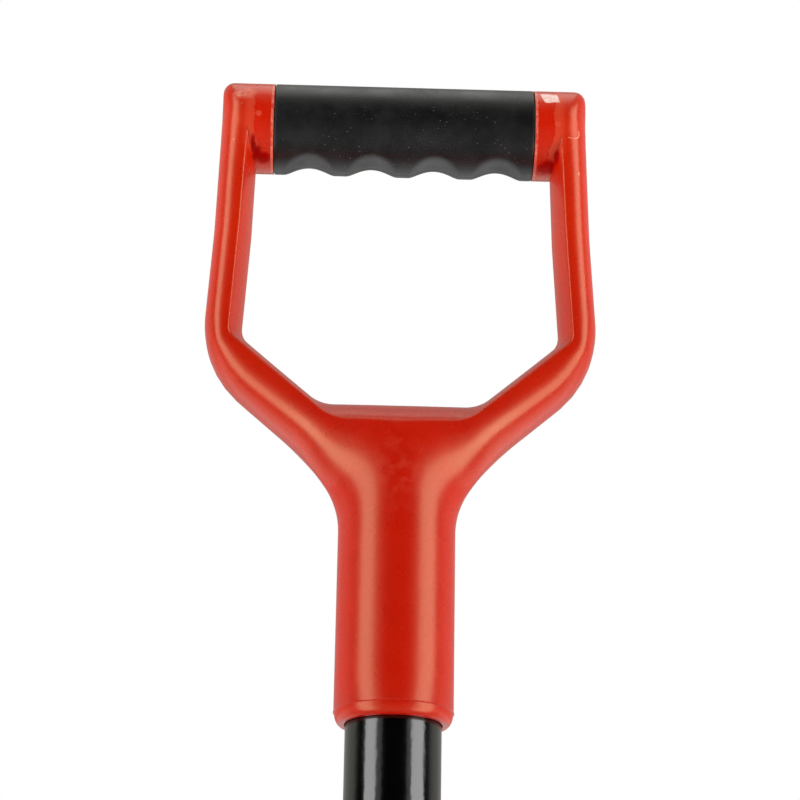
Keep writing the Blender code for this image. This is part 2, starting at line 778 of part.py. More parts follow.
def sheet_half_width(z):
    """Developed half width of the sheet: it widens as it closes round the tube."""
    flank_end = (SOCKET_NECK_RADIUS + FROG_FLANK_RADIUS) * frog_angle(BLADE_LENGTH)
    closed = math.pi * socket_radius(z) - SEAM_WIDTH / 2
    widening = smooth((z - BLADE_LENGTH - NECK_HOLD) / (SOCKET_CLOSING - NECK_HOLD))
    width = mix(flank_end + NECK_MARGIN, closed, widening)
    below_fillet = max(BLADE_LENGTH + NECK_FILLET - z, 0.0)
    return width + NECK_FILLET - math.sqrt(NECK_FILLET**2 - min(below_fillet, NECK_FILLET) ** 2)


def sheet_section(z, distances):
    """Points (x, y) at developed distances from the centre line, for one height."""
    steps = int(math.ceil(distances[-1] / SECTION_STEP))
    x, y, walked = 0.0, 0.0, 0.0
    found = []
    pending = list(distances)
    step = distances[-1] / steps
    for _ in range(steps + 1):
        while pending and pending[0] <= walked + 1e-9:
            found.append((x, y))
            pending.pop(0)
        angle = sheet_angle(walked + step / 2, z)
        x += math.cos(angle) * step
        y += math.sin(angle) * step
        walked += step
    return found


def tip_height(x, half_width):
    """The cutting edge: gently bowed, with rounded corners."""
    rise = EDGE_RISE * (x / half_width) ** 2
    past = x - (half_width - TIP_CORNER_RADIUS)
    if past > 0:
        rise += TIP_CORNER_RADIUS - math.sqrt(max(TIP_CORNER_RADIUS**2 - past**2, 0.0))
    return rise


def blade_half_width(z):
    return mix(BLADE_TIP_WIDTH, BLADE_TOP_WIDTH, min(z / BLADE_LENGTH, 1.0)) / 2


def build_blade(finish):
    tip_half = blade_half_width(0.0)
    rolled = sheet_half_width(BLADE_LENGTH)
    inner_shares = [k / ROLLED_COLUMNS for k in range(ROLLED_COLUMNS + 1)]
    wing_shares = [1 - (1 - k / WING_COLUMNS) ** WING_COLUMN_EASE for k in range(1, WING_COLUMNS + 1)]
    # The right half of the tip, where the sheet is flat, gives each column its foot.
    foot = [share * rolled for share in inner_shares]
    foot += [mix(rolled, tip_half, share) for share in wing_shares]
    rows = []
    for i in range(BLADE_ROWS + 1):
        row = []
        for index, across in enumerate(foot):
            base = tip_height(across, tip_half)
            if i == 1:
                z = base + EDGE_BEVEL
            elif i == 0:
                z = base
            else:
                z = mix(base + EDGE_BEVEL, BLADE_LENGTH, (i - 1) / (BLADE_ROWS - 1))
            row.append((index, z))
        rows.append([blade_point(index, z, inner_shares, wing_shares) for index, z in row])
    # Rows of the neck's fillet, then of the closing sheet, then of the closed socket
    rises = [NECK_FILLET * share for share in NECK_ROW_SHARES]
    rises += [mix(NECK_FILLET, SOCKET_CLOSING, (k + 1) / CLOSING_ROWS) for k in range(CLOSING_ROWS)]
    rises += [mix(SOCKET_CLOSING, SOCKET_LENGTH, (k + 1) / SOCKET_ROWS) for k in range(SOCKET_ROWS)]
    for rise in rises:
        z = BLADE_LENGTH + rise
        rows.append([
            blade_point(index, z, inner_shares, wing_shares) for index in range(ROLLED_COLUMNS + 1)
        ])
    bm = bmesh.new()
    for side in (1, -1):
        grid = [[bm.verts.new((side * x, y, z)) for x, y, z in row] for row in rows]
        for lower, upper in zip(grid, grid[1:]):
            for j in range(min(len(lower), len(upper)) - 1):
                corners = (lower[j], lower[j + 1], upper[j + 1], upper[j])
                bm.faces.new(corners if side > 0 else tuple(reversed(corners)))
    weld_points(bm)
    bmesh.ops.recalc_face_normals(bm, faces=bm.faces)
    blade = make_object("blade", bm, finish)
    group = blade.vertex_groups.new(name="thickness")
    for vertex in blade.data.vertices:
        x, y, z = vertex.co
        above = z - tip_height(min(abs(x), tip_half), tip_half)
        thin = EDGE_THICKNESS / BLADE_THICKNESS
        weight = thin if above < EDGE_BEVEL / 2 and z < BLADE_LENGTH / 4 else 1.0
        group.add([vertex.index], weight, "REPLACE")
    shell = blade.modifiers.new("sheet", "SOLIDIFY")
    shell.thickness = BLADE_THICKNESS
    shell.offset = 0.0
    shell.use_even_offset = True
    shell.vertex_group = group.name
    shell.thickness_vertex_group = 0.0
    return blade


def blade_point(index, z, inner_shares, wing_shares):
    """A point of the sheet's middle surface: rolled columns first, then the wing's."""
    rolled = sheet_half_width(max(z, BLADE_LENGTH))
    distances = [share * rolled for share in inner_shares]
    section = sheet_section(z, distances)
    if z >= BLADE_LENGTH:
        front_y = -socket_radius(z)
    else:
        reach = SOCKET_NECK_RADIUS + FROG_FLANK_RADIUS
        front_y = wing_y(0.0, z) - reach * (1 - math.cos(frog_angle(z)))
    root_x = section[-1][0]
    if index < len(inner_shares):
        x, y = section[index]
        y += front_y
        dish = wing_y(x, z) - wing_y(0.0, z)
        if z < BLADE_LENGTH:
            y += dish
        else:
            y += dish * (1 - closing_share(z))
        return x, y, z
    share = wing_shares[index - len(inner_shares)]
    x = mix(root_x, blade_half_width(z), share)
    return x, wing_y(x, z), z


# Rivets and screw

def domed_pin(name, diameter, head_diameter, head_height, length, finish, tail=False):
    """A pin along Z from its head's seat at Z = 0 down, with a domed head and a formed tail."""
    radius, head = diameter / 2, head_diameter / 2
    profile = [(0.0, head_height)]
    rim = head_height / 4
    steps = PIN_DOME_STEPS
    for k in range(1, steps + 1):
        angle = math.pi / 2 * k / steps
        profile.append((head * math.sin(angle), rim + (head_height - rim) * math.cos(angle)))
    profile += [(head, 0.0), (radius, 0.0)]
    if tail:
        low = -length
        profile += [(radius, low), (head, low)]
        for k in range(steps, 0, -1):
            angle = math.pi / 2 * k / steps
            drop = rim + (head_height - rim) * math.cos(angle)
            profile.append((head * math.sin(angle), low - drop))
        profile.append((0.0, low - head_height))
    else:
        profile += [(radius, SCREW_POINT_LENGTH - length), (SCREW_POINT_RADIUS, -length), (0.0, -length)]
    return turned(name, profile, PIN_SIDES, finish)


def build_rivets(finish, blade, tube):
    """Two rivets across the socket, along X, and the holes that they fill."""
    seat = SOCKET_OUTER_RADIUS + SEAT_GAP
    hole = RIVET_DIAMETER / 2 + SEAT_GAP
    reach = 2 * SOCKET_OUTER_RADIUS
    for name, drop in (("upper", UPPER_RIVET_DROP), ("lower", UPPER_RIVET_DROP + RIVET_SPACING)):
        height = SOCKET_TOP_Z - drop
        place = Matrix.Translation((0, 0, height)) @ Matrix.Rotation(math.pi / 2, 4, "Y")
        tool = cutter(
            name + "_rivet_hole", [(0, -reach), (hole, -reach), (hole, reach), (0, reach)],
            PIN_SIDES, place,
        )
        cut(blade, tool)
        cut(tube, tool)
        rivet = domed_pin(
            name + "_socket_rivet", RIVET_DIAMETER, RIVET_HEAD_DIAMETER, RIVET_HEAD_HEIGHT,
            2 * seat, finish, tail=True,
        )
        rivet.matrix_world = place @ Matrix.Translation((0, 0, seat))


def build_screw(finish, yoke, tube):
    """A pan head screw from behind, through the sleeve and the tube's wall."""
    height = SLEEVE_Z + SCREW_HEIGHT
    head_seat = SLEEVE_RADIUS - SCREW_SINK
    place = Matrix.Translation((0, 0, height)) @ Matrix.Rotation(-math.pi / 2, 4, "X")
    hole = SCREW_DIAMETER / 2 + SEAT_GAP
    recess = SCREW_HEAD_DIAMETER / 2 + SEAT_GAP
    inside = TUBE_RADIUS - TUBE_WALL - SCREW_REACH
    outside = SLEEVE_RADIUS + SCREW_HEAD_HEIGHT
    tool = cutter(
        "screw_hole",
        [
            (0, inside), (hole, inside), (hole, head_seat),
            (recess, head_seat), (recess, outside), (0, outside),
        ],
        PIN_SIDES, place,
    )
    cut(yoke, tool)
    cut(tube, tool)
    screw = domed_pin(
        "yoke_screw", SCREW_DIAMETER, SCREW_HEAD_DIAMETER, SCREW_HEAD_HEIGHT,
        head_seat - (TUBE_RADIUS - TUBE_WALL - SCREW_REACH / 2), finish,
    )
    screw.matrix_world = place @ Matrix.Translation((0, 0, head_seat + SEAT_GAP))


# Treads and welds

def tread_start():
    """Where a tread begins, clear of the sheet that turns up into the socket."""
    neck = sheet_section(BLADE_LENGTH, [sheet_half_width(BLADE_LENGTH)])[0][0]
    return max(neck + 2 * BLADE_THICKNESS, BLADE_TOP_WIDTH / 2 - TREAD_LENGTH)


def build_tread(name, side, finish):
    start, end = tread_start(), BLADE_TOP_WIDTH / 2
    centre_x = (start + end) / 2
    centre_y = wing_y(centre_x, BLADE_LENGTH)
    bm = bmesh.new()
    bmesh.ops.create_cube(bm, size=1.0)
    bmesh.ops.scale(bm, vec=(end - start, TREAD_DEPTH, TREAD_THICKNESS), verts=bm.verts)
    upright = [e for e in bm.edges if abs(e.verts[0].co.z - e.verts[1].co.z) > TREAD_THICKNESS / 2]
    bmesh.ops.bevel(
        bm, geom=upright, offset=TREAD_CORNER, offset_type="OFFSET", segments=TREAD_CORNER_STEPS,
        profile=0.5, affect="EDGES",
    )
    rims = []
    for edge in bm.edges:
        first, second = [vertex.co.z for vertex in edge.verts]
        if abs(first - second) < 1e-6 and abs(abs(first) - TREAD_THICKNESS / 2) < 1e-6:
            rims.append(edge)
    bmesh.ops.bevel(
        bm, geom=rims, offset=TREAD_EDGE_ROUND, offset_type="OFFSET", segments=TREAD_RIM_STEPS,
        profile=0.5, affect="EDGES",
    )
    bmesh.ops.recalc_face_normals(bm, faces=bm.faces)
    tread = make_object(name, bm, finish)
    tread.location = (side * centre_x, centre_y, BLADE_LENGTH + SEAT_GAP + TREAD_THICKNESS / 2)
    return tread


def weld_taper(share):
    """How full a bead is at a share of its length."""
    return math.sin(math.pi * mix(WELD_END_SHARE, 1 - WELD_END_SHARE, share)) ** WELD_END_EASE


def build_tread_weld(name, side, face, finish):
    """A fillet weld under a tread, along the front (-1) or the back (1) of the wing."""
    start = tread_start() + WELD_INSET
    end = BLADE_TOP_WIDTH / 2 - WELD_INSET - TREAD_CORNER
    ceiling = BLADE_LENGTH
    rings = []
    for k in range(WELD_STEPS + 1):
        share = k / WELD_STEPS
        x = mix(start, end, share)
        leg = WELD_LEG * weld_taper(share)
        root = wing_y(x, ceiling) + face * (BLADE_THICKNESS / 2 + SEAT_GAP)
        ring = [(side * x, root, ceiling)]
        for m in range(WELD_BELLY_STEPS + 1):
            angle = math.pi / 2 * m / WELD_BELLY_STEPS
            belly = mix(1.0, abs(math.cos(2 * angle)), WELD_HOLLOW)
            ring.append((
                side * x,
                root + face * leg * belly * math.cos(angle),
                ceiling - leg * belly * math.sin(angle),
            ))
        rings.append(ring)
    return lofted(name, rings, finish)


def build_seam_weld(finish):
    """A low bead along the socket's rear seam, from where the sheet has closed to its top."""
    start = TUBE_BOTTOM_Z + SEAM_WELD_START
    end = SOCKET_TOP_Z - SEAM_WELD_END
    under = SOCKET_OUTER_RADIUS + SEAT_GAP
    half_angle = SEAM_WELD_WIDTH / 2 / under
    rings = []
    for k in range(SEAM_WELD_STEPS + 1):
        share = k / SEAM_WELD_STEPS
        crown = SEAM_WELD_HEIGHT * weld_taper(share)
        z = mix(start, end, share)
        ring = []
        for m in range(SEAM_WELD_ACROSS + 1):
            angle = mix(-half_angle, half_angle, m / SEAM_WELD_ACROSS)
            rise = crown * math.cos(math.pi / 2 * angle / half_angle)
            radius = under + SEAM_WELD_RIM + rise
            ring.append((radius * math.sin(angle), radius * math.cos(angle), z))
        for m in range(SEAM_WELD_ACROSS, -1, -1):
            angle = mix(-half_angle, half_angle, m / SEAM_WELD_ACROSS)
            ring.append((under * math.sin(angle), under * math.cos(angle), z))
        rings.append(ring)
    return lofted("socket_seam_weld", rings, finish)


def main():
    clear_scene()
    red_plastic = material("red handle plastic", (0.66, 0.021, 0.004), 0.38)
    black_rubber = material("black grip rubber", (0.012, 0.012, 0.013), 0.62)
    black_paint = material("black shaft coating", (0.006, 0.006, 0.006), 0.30)
    blade_paint = material("black blade coating", (0.010, 0.010, 0.011), 0.42)
    zinc = material("zinc plated steel", (0.52, 0.53, 0.55), 0.32, 1.0)
    weld_paint = material("coated weld", (0.009, 0.009, 0.010), 0.48)

    yoke = build_yoke(red_plastic)
    build_grip(black_rubber)
    tube = build_tube(black_paint)
    blade = build_blade(blade_paint)
    build_rivets(blade_paint, blade, tube)
    build_screw(zinc, yoke, tube)
    for side, word in ((-1, "left"), (1, "right")):
        build_tread(word + "_tread", side, blade_paint)
        build_tread_weld(word + "_tread_front_weld", side, -1, weld_paint)
        build_tread_weld(word + "_tread_rear_weld", side, 1, weld_paint)
    build_seam_weld(weld_paint)


main()
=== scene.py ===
import json
import math
from types import SimpleNamespace

import bmesh
import bpy
from mathutils import Matrix, Vector

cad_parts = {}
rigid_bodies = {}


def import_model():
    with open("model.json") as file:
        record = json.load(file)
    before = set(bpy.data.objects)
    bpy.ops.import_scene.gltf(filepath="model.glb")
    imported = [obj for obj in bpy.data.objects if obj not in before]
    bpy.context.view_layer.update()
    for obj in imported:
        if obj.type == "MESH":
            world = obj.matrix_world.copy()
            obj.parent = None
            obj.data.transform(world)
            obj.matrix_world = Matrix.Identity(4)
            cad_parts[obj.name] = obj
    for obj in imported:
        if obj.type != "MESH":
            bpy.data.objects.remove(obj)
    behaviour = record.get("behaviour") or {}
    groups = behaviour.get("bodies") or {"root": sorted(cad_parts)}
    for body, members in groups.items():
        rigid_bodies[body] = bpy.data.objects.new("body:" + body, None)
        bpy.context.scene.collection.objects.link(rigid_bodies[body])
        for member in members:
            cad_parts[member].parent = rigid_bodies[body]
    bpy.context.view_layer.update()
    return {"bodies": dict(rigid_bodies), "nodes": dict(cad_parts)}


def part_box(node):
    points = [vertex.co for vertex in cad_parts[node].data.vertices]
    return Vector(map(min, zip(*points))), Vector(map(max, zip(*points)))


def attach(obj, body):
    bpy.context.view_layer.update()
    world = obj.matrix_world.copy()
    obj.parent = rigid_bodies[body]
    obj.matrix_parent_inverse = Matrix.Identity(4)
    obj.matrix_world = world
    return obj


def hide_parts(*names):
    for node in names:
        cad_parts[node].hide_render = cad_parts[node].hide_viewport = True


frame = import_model()
scene = bpy.context.scene
print("stage: frame loaded,", len(frame["nodes"]), "solids")

keep = set(frame["nodes"].values()) | set(frame["bodies"].values())
for stray in [o for o in bpy.data.objects if o not in keep]:
    bpy.data.objects.remove(stray)  # a fresh Blender may hold its start-up cube


# Small helpers

def makeActive(piece):
    if bpy.context.mode != "OBJECT":
        bpy.ops.object.mode_set(mode="OBJECT")
    bpy.ops.object.select_all(action="DESELECT")
    piece.select_set(True)
    bpy.context.view_layer.objects.active = piece


def editMode(piece, kind="VERT"):
    makeActive(piece)
    bpy.ops.object.mode_set(mode="EDIT")
    bpy.ops.mesh.select_mode(type=kind)
    bpy.ops.mesh.select_all(action="DESELECT")


def objectMode():
    bpy.ops.object.mode_set(mode="OBJECT")


def chooseFaces(piece, test):
    # Selects the faces that pass the test, and leaves the piece in edit mode.
    editMode(piece, "FACE")
    objectMode()
    for face in piece.data.polygons:
        face.select = bool(test(face))
    bpy.ops.object.mode_set(mode="EDIT")


def chooseEdges(piece, test):
    # The test gets the edge's two end points.
    editMode(piece, "EDGE")
    objectMode()
    points = piece.data.vertices
    for edge in piece.data.edges:
        edge.select = bool(test(points[edge.vertices[0]].co, points[edge.vertices[1]].co))
    bpy.ops.object.mode_set(mode="EDIT")


def newest(name):
    piece = bpy.context.active_object
    piece.name = piece.data.name = name
    return piece


def addCylinder(name, radius, length, centre, vertices, turn=(0, 0, 0), ends="NGON"):
    bpy.ops.mesh.primitive_cylinder_add(
        vertices=vertices, radius=radius, depth=length,
        end_fill_type=ends, calc_uvs=False, location=centre, rotation=turn,
    )
    return newest(name)


def settle(piece):
    # Puts the piece's place into its mesh.
    makeActive(piece)
    bpy.ops.object.transform_apply(location=True, rotation=True, scale=True)


def addModifier(piece, kind, **settings):
    modifier = piece.modifiers.new(kind.lower(), kind)
    for key, value in settings.items():
        setattr(modifier, key, value)


def applyAll(piece):
    makeActive(piece)
    for modifier in list(piece.modifiers):
        bpy.ops.object.modifier_apply(modifier=modifier.name)


mergeDistance = 0.000002     # points nearer than this are merged
mirrorMerge = 0.00001        # and nearer than this across a mirror plane
sameLevel = 0.000001         # places nearer than this count as level
roundOff = 1e-9              # allowance for rounding errors


def pointOutwards(piece):
    editMode(piece)
    bpy.ops.mesh.select_all(action="SELECT")
    bpy.ops.mesh.remove_doubles(threshold=mergeDistance)
    bpy.ops.mesh.normals_make_consistent(inside=False)
    objectMode()


def sortParts(piece):
    # Extruding lists points and faces in an order that changes from run to run.
    mesh = piece.data
    byPlace = sorted(mesh.vertices, key=lambda vertex: vertex.co[:])
    points = [vertex.co.copy() for vertex in byPlace]
    rank = {vertex.index: k for k, vertex in enumerate(byPlace)}
    faces = [[rank[k] for k in face.vertices] for face in mesh.polygons]
    mesh.clear_geometry()
    mesh.from_pydata(points, [], sorted(faces))


def cutWith(piece, tool):
    addModifier(piece, "BOOLEAN", operation="DIFFERENCE", solver="EXACT", object=tool)
    applyAll(piece)
    bpy.data.objects.remove(tool)


def dress(piece, material, nodeName, smoothAngle=32):
    makeActive(piece)
    bpy.ops.object.shade_smooth_by_angle(angle=math.radians(smoothAngle))
    piece.data.materials.clear()
    piece.data.materials.append(material)
    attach(piece, "root")
    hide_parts(nodeName)
    print("  piece", piece.name, len(piece.data.polygons), "faces")


def mix(a, b, share):
    return a + (b - a) * share


def ease(share):
    share = min(max(share, 0.0), 1.0)
    return share * share * (3 - 2 * share)


def softMin(a, b, softness):
    near = max(softness - abs(a - b), 0.0)
    return min(a, b) - near * near / (4 * softness)


def skinRows(bm, rows, closed=False):
    # Joins rows of points by faces. A longer row's further points get none.
    grid = [[bm.verts.new(point) for point in row] for row in rows]
    for lower, upper in zip(grid, grid[1:]):
        count = min(len(lower), len(upper))
        for j in range(count if closed else count - 1):
            k = (j + 1) % count
            bm.faces.new((lower[j], lower[k], upper[k], upper[j]))


def pieceFrom(bm, name, lift=0.0):
    bmesh.ops.remove_doubles(bm, verts=bm.verts, dist=mergeDistance)
    bmesh.ops.dissolve_degenerate(bm, edges=bm.edges, dist=mergeDistance)
    bmesh.ops.translate(bm, verts=bm.verts, vec=(0, 0, lift))
    mesh = bpy.data.meshes.new(name)
    bm.to_mesh(mesh)
    bm.free()
    piece = bpy.data.objects.new(name, mesh)
    scene.collection.objects.link(piece)
    return piece


# Outlines with rounded corners, as spans of (length, point at a share of the length)

def lineSpan(start, end):
    return (end - start).length, lambda share: start.lerp(end, share)


def arcSpan(start, heading, turn, radius):
    side = Vector((-heading.y, heading.x)) * math.copysign(1, turn)
    centre = start + side * radius

    def at(share):
        return centre + Matrix.Rotation(turn * share, 2) @ (start - centre)

    return abs(turn) * radius, at


def roundedSpans(corners, radii):
    spans = []
    start = Vector(corners[0])
    for before, corner, after, radius in zip(corners, corners[1:], corners[2:], radii):
        corner = Vector(corner)
        come = (corner - Vector(before)).normalized()
        leave = (Vector(after) - corner).normalized()
        turn = come.angle_signed(leave) * -1
        reach = radius * math.tan(abs(turn) / 2)
        spans.append(lineSpan(start, corner - come * reach))
        spans.append(arcSpan(corner - come * reach, come, turn, radius))
        start = corner + leave * reach
    spans.append(lineSpan(start, Vector(corners[-1])))
    return spans


def pointAlong(spans, distance):
    for length, at in spans[:-1]:
        if distance <= length:
            return at(distance / length)
        distance -= length
    length, at = spans[-1]
    return at(distance / length)


def spanStops(spans):
    # Distances along the outline at which its spans begin and end.
    stops = [0.0]
    for length, _ in spans:
        stops.append(stops[-1] + length)
    return stops


# D handle moulding

handlePlan = {
    "barHeight": 0.2140, "barRadius": 0.0162, "coreRadius": 0.0105,
    "barrelEnd": 0.0464, "barrelRound": 0.00012,
    "boreRadius": 0.0163, "sleeveRadius": 0.0199, "sleeveLength": 0.0625,
    "lip": 0.0040, "lipFlat": 0.25, "socketDepth": 0.0600,
    "lipRidge": 0.0002,
    "ridgeShape": ((0.6, 0.4), (1.3, 1.0), (2.2, 0.8), (4.0, 0.0)),   # (height, outwards) in ridges
    "throatAngle": 56, "throatRadius": 0.0290, "throatHalfWidth": 0.0322,
    "funnelRadius": 0.0900, "diagonalAngle": 41, "diagonalWidth": 0.0168,
    "elbowHalfWidth": 0.0691, "elbowRadius": 0.0360,
    "bendHeight": 0.1710, "bendHalfWidth": 0.06635, "bendRadius": 0.150,
    "topHalfWidth": 0.0649, "armWidth": 0.0131, "cornerRadius": 0.0040,
    "crotchHeight": 0.1082, "crotchRadius": 0.0134, "innerElbowRadius": 0.0090,
    "crotchHalfDepth": 0.0186, "armHalfDepth": 0.0140, "armSwell": 6,
    "wallRuns": (0.0115, 0.0046, 0.0038, 0.0031),   # crotch, diagonal, arm, top of the arm
    "creaseSlope": 3, "creaseRadius": 0.0160, "elbowCreaseRadius": 0.0050,
    "wallBulge": 0.85,                              # 0 is a flat side wall, 1 a full parabola
    "crotchFillet": 0.0016, "armFillet": 0.0009, "filletDrop": 0.85, "filletFade": 0.0120,
    "squeezeShare": 0.72, "roundingReach": 0.0255, "reachSoftness": 0.0045,
    "cornerBlend": 60,                              # degrees round the bar to its full corner
    "barBlend": 0.5,                                # share of the arm's width
    "sleeveRoundness": 2.0, "funnelRoundness": 1.9, "armRoundness": 2.6,   # 2 is an ellipse
    "across": 20, "filletSteps": 5, "wallSteps": 12, "lipSteps": 8, "sleeveRows": 6,
    "throatRows": 20, "zoneRows": (10, 10, 10, 14), "armRows": 30, "barrelSteps": 3,
    "recessRadius": 0.0048, "recessDepth": 0.00144, "recessAround": 56, "cutterLength": 0.008,
}
hp = SimpleNamespace(**handlePlan)
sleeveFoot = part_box("yoke")[0].z + hp.lip
topHeight = hp.barHeight + hp.barRadius


def crossing(start, slope, other, otherSlope):
    x = (other[1] - start[1] + slope * start[0] - otherSlope * other[0]) / (slope - otherSlope)
    return x, start[1] + slope * (x - start[0])


def handleOutlines():
    # Right half's outer outline, hand opening and crease, seen from the front.
    slope = math.tan(math.radians(hp.diagonalAngle))
    throatTilt = math.radians(hp.throatAngle)
    throatRise = hp.throatRadius * math.tan((math.pi / 2 - throatTilt) / 2)
    throat = (hp.sleeveRadius, hp.sleeveLength + throatRise)
    funnel = (
        hp.throatHalfWidth,
        throat[1] + (hp.throatHalfWidth - hp.sleeveRadius) * math.tan(throatTilt),
    )
    elbow = (hp.elbowHalfWidth, funnel[1] + (hp.elbowHalfWidth - hp.throatHalfWidth) * slope)
    bend = (hp.bendHalfWidth, hp.bendHeight)
    top = (hp.topHalfWidth, topHeight)
    outer = roundedSpans(
        [(hp.sleeveRadius, 0.0), throat, funnel, elbow, bend, top, (0.0, topHeight)],
        [hp.throatRadius, hp.funnelRadius, hp.elbowRadius, hp.bendRadius, hp.cornerRadius],
    )
    armSlope = (bend[1] - elbow[1]) / (bend[0] - elbow[0])
    lean = math.cos(math.radians(hp.diagonalAngle))
    diagonal = (funnel[0], funnel[1] + hp.diagonalWidth / lean)
    innerBend = (bend[0] - hp.armWidth, bend[1])
    innerTop = (top[0] - hp.armWidth, top[1])
    inner = roundedSpans(
        [
            (0.0, hp.crotchHeight), crossing((0.0, hp.crotchHeight), 0.0, diagonal, slope),
            crossing(innerBend, armSlope, diagonal, slope), innerBend, innerTop,
        ],
        [hp.crotchRadius, hp.innerElbowRadius, hp.bendRadius],
    )
    crotchRun, diagonalRun, armRun, topRun = hp.wallRuns
    creaseMiddle = (0.0, hp.crotchHeight - crotchRun)
    creaseDiagonal = (diagonal[0], diagonal[1] - diagonalRun / lean)
    creaseBend = (innerBend[0] + armRun, innerBend[1])
    creaseTop = (innerTop[0] + topRun, innerTop[1])
    crease = roundedSpans(
        [
            creaseMiddle,
            crossing(creaseMiddle, math.tan(math.radians(hp.creaseSlope)), creaseDiagonal, slope),
            crossing(creaseBend, armSlope, creaseDiagonal, slope), creaseBend, creaseTop,
        ],
        [hp.creaseRadius, hp.elbowCreaseRadius, hp.bendRadius],
    )
    return outer, inner, crease


def armHalfDepth(height):
    rise = (height - hp.bendHeight) / (hp.barHeight - hp.bendHeight)
    return mix(hp.armHalfDepth, hp.barRadius, min(max(rise, 0.0), 1.0) ** hp.armSwell)


def barHalfDepth(height):
    return math.sqrt(max(hp.barRadius**2 - (height - hp.barHeight) ** 2, 0.0))


def barMeetsWall(share):
    # Height at which the side wall, at a share of its depth, runs into the bar.
    halvings, highest = 40, 0.1       # the search ends this share of the radius under the middle
    low, high = hp.barHeight - hp.barRadius, hp.barHeight - highest * hp.barRadius
    for _ in range(halvings):
        middle = (low + high) / 2
        if share * armHalfDepth(middle) > barHalfDepth(middle):
            low = middle
        else:
            high = middle
    return (low + high) / 2


def wallCurve(share):
    return mix(share, share * share, hp.wallBulge)


def frontRow(start, end, halfDepth, roundness):
    # From a point on the front face round to the outline on the middle plane.
    # Its rounding reaches only so far in, and beyond that the face is flat.
    length = (end - start).length
    reach = softMin(length, hp.roundingReach, hp.reachSoftness) / length
    row = [(start.x, -halfDepth, start.y)]
    for step in range(1, hp.across + 1):
        angle = math.pi / 2 * step / hp.across
        depth = math.cos(angle) ** (2 / roundness) if step < hp.across else 0.0
        point = start.lerp(end, 1 - reach * (1 - math.sin(angle) ** (2 / roundness)))
        row.append((point.x, -halfDepth * depth, point.y))
    return row


def ringRow(radius, height):
    row = []
    for step in range(hp.across + 1):
        angle = math.pi / 2 * step / hp.across
        depth = math.cos(angle) if step < hp.across else 0.0
        row.append((radius * math.sin(angle), -radius * depth, height))
    return row


def barRow(x, radius, firstAngle):
    row = []
    for step in range(hp.across + 1):
        angle = mix(firstAngle, math.pi / 2, step / hp.across)
        flat = step == hp.across or (step == 0 and firstAngle <= -math.pi / 2)
        depth = 0.0 if flat else math.cos(angle)
        row.append((x, -radius * depth, hp.barHeight + radius * math.sin(angle)))
    return row


def capRows(apex, firstAngle, outer, stops):
    # The arm's front runs up into the bar, and the bar's end is rounded over. Each row starts
    # on the bar at the next angle round it and ends on the outline of the middle plane.
    slopeStep = 0.0005
    cornerFrom, cornerTo, topMiddle = stops[9:]
    atBar = cornerFrom - (pointAlong(outer, cornerFrom).y - hp.barHeight)
    barEnd = pointAlong(outer, atBar)
    marks = [topMiddle - apex.x, cornerTo, cornerFrom, atBar]
    power = 2 / hp.armRoundness
    armSlope = (armHalfDepth(apex.z) - armHalfDepth(apex.z - slopeStep)) / slopeStep
    rise = hp.barHeight - apex.z
    rows = []
    for place in range(1, hp.across + 1):
        angle = mix(firstAngle, math.pi / 2, place / hp.across)
        height = hp.barHeight + hp.barRadius * math.sin(angle)
        row = []
        for step in range(hp.across + 1):
            turn = math.pi / 2 * step / hp.across
            out = math.sin(turn) ** power
            depth = math.cos(turn) ** power if step < hp.across else 0.0
            if angle < 0:
                end = pointAlong(outer, atBar - (hp.barHeight - height))
                t = (height - apex.z) / rise
                smoothDepth = mix(-apex.y, hp.barRadius, ease(t))
                smoothDepth += armSlope * rise * t * (1 - t) ** 2
                full = mix(hp.barRadius * math.cos(angle), smoothDepth, ease(out / hp.barBlend))
                row.append((mix(apex.x, end.x, out), -full * depth, height))
                continue
            share = 4 * step / hp.across
            if share <= 1:
                corner = pointAlong(outer, mix(marks[0], marks[1], share))
            elif share <= 3:
                corner = pointAlong(outer, mix(marks[1], marks[2], (share - 1) / 2))
            else:
                corner = pointAlong(outer, mix(marks[2], marks[3], share - 3))
            blend = ease(angle / math.radians(hp.cornerBlend))
            x = mix(mix(apex.x, barEnd.x, out), corner.x, blend)
            radius = mix(hp.barRadius * depth, corner.y - hp.barHeight, blend)
            flat = place == hp.across or step == hp.across
            y = 0.0 if flat else -radius * math.cos(angle)
            row.append((x, y, hp.barHeight + radius * math.sin(angle)))
        rows.append(row)
    return rows


def nearestAlong(spans, start, end, point):
    # Distance along an outline at which it comes nearest to the point.
    rounds, parts = 4, 40
    for _ in range(rounds):
        places = [mix(start, end, k / parts) for k in range(parts + 1)]
        best = min(places, key=lambda place: (pointAlong(spans, place) - point).length)
        reach = (end - start) / parts
        start, end = max(best - reach, start), min(best + reach, end)
    return (start + end) / 2


def handleStations(outlines):
    # Distances along the three outlines at which the rows round the opening lie.
    outer, inner, crease = outlines
    outerStops, innerStops, creaseStops = [spanStops(outline) for outline in outlines]
    sleeveTop, bendFoot = outerStops[1], outerStops[7]
    stations = []
    for span, steps in enumerate(hp.zoneRows):
        for step in range(0 if span == 0 else 1, steps + 1):
            share = step / steps
            atCrease = mix(creaseStops[span], creaseStops[span + 1], share)
            atInner = mix(innerStops[span], innerStops[span + 1], share)
            edge = pointAlong(crease, atCrease)
            atOuter = nearestAlong(outer, sleeveTop, bendFoot, edge)
            stations.append((atOuter, atInner, atCrease))
    return stations


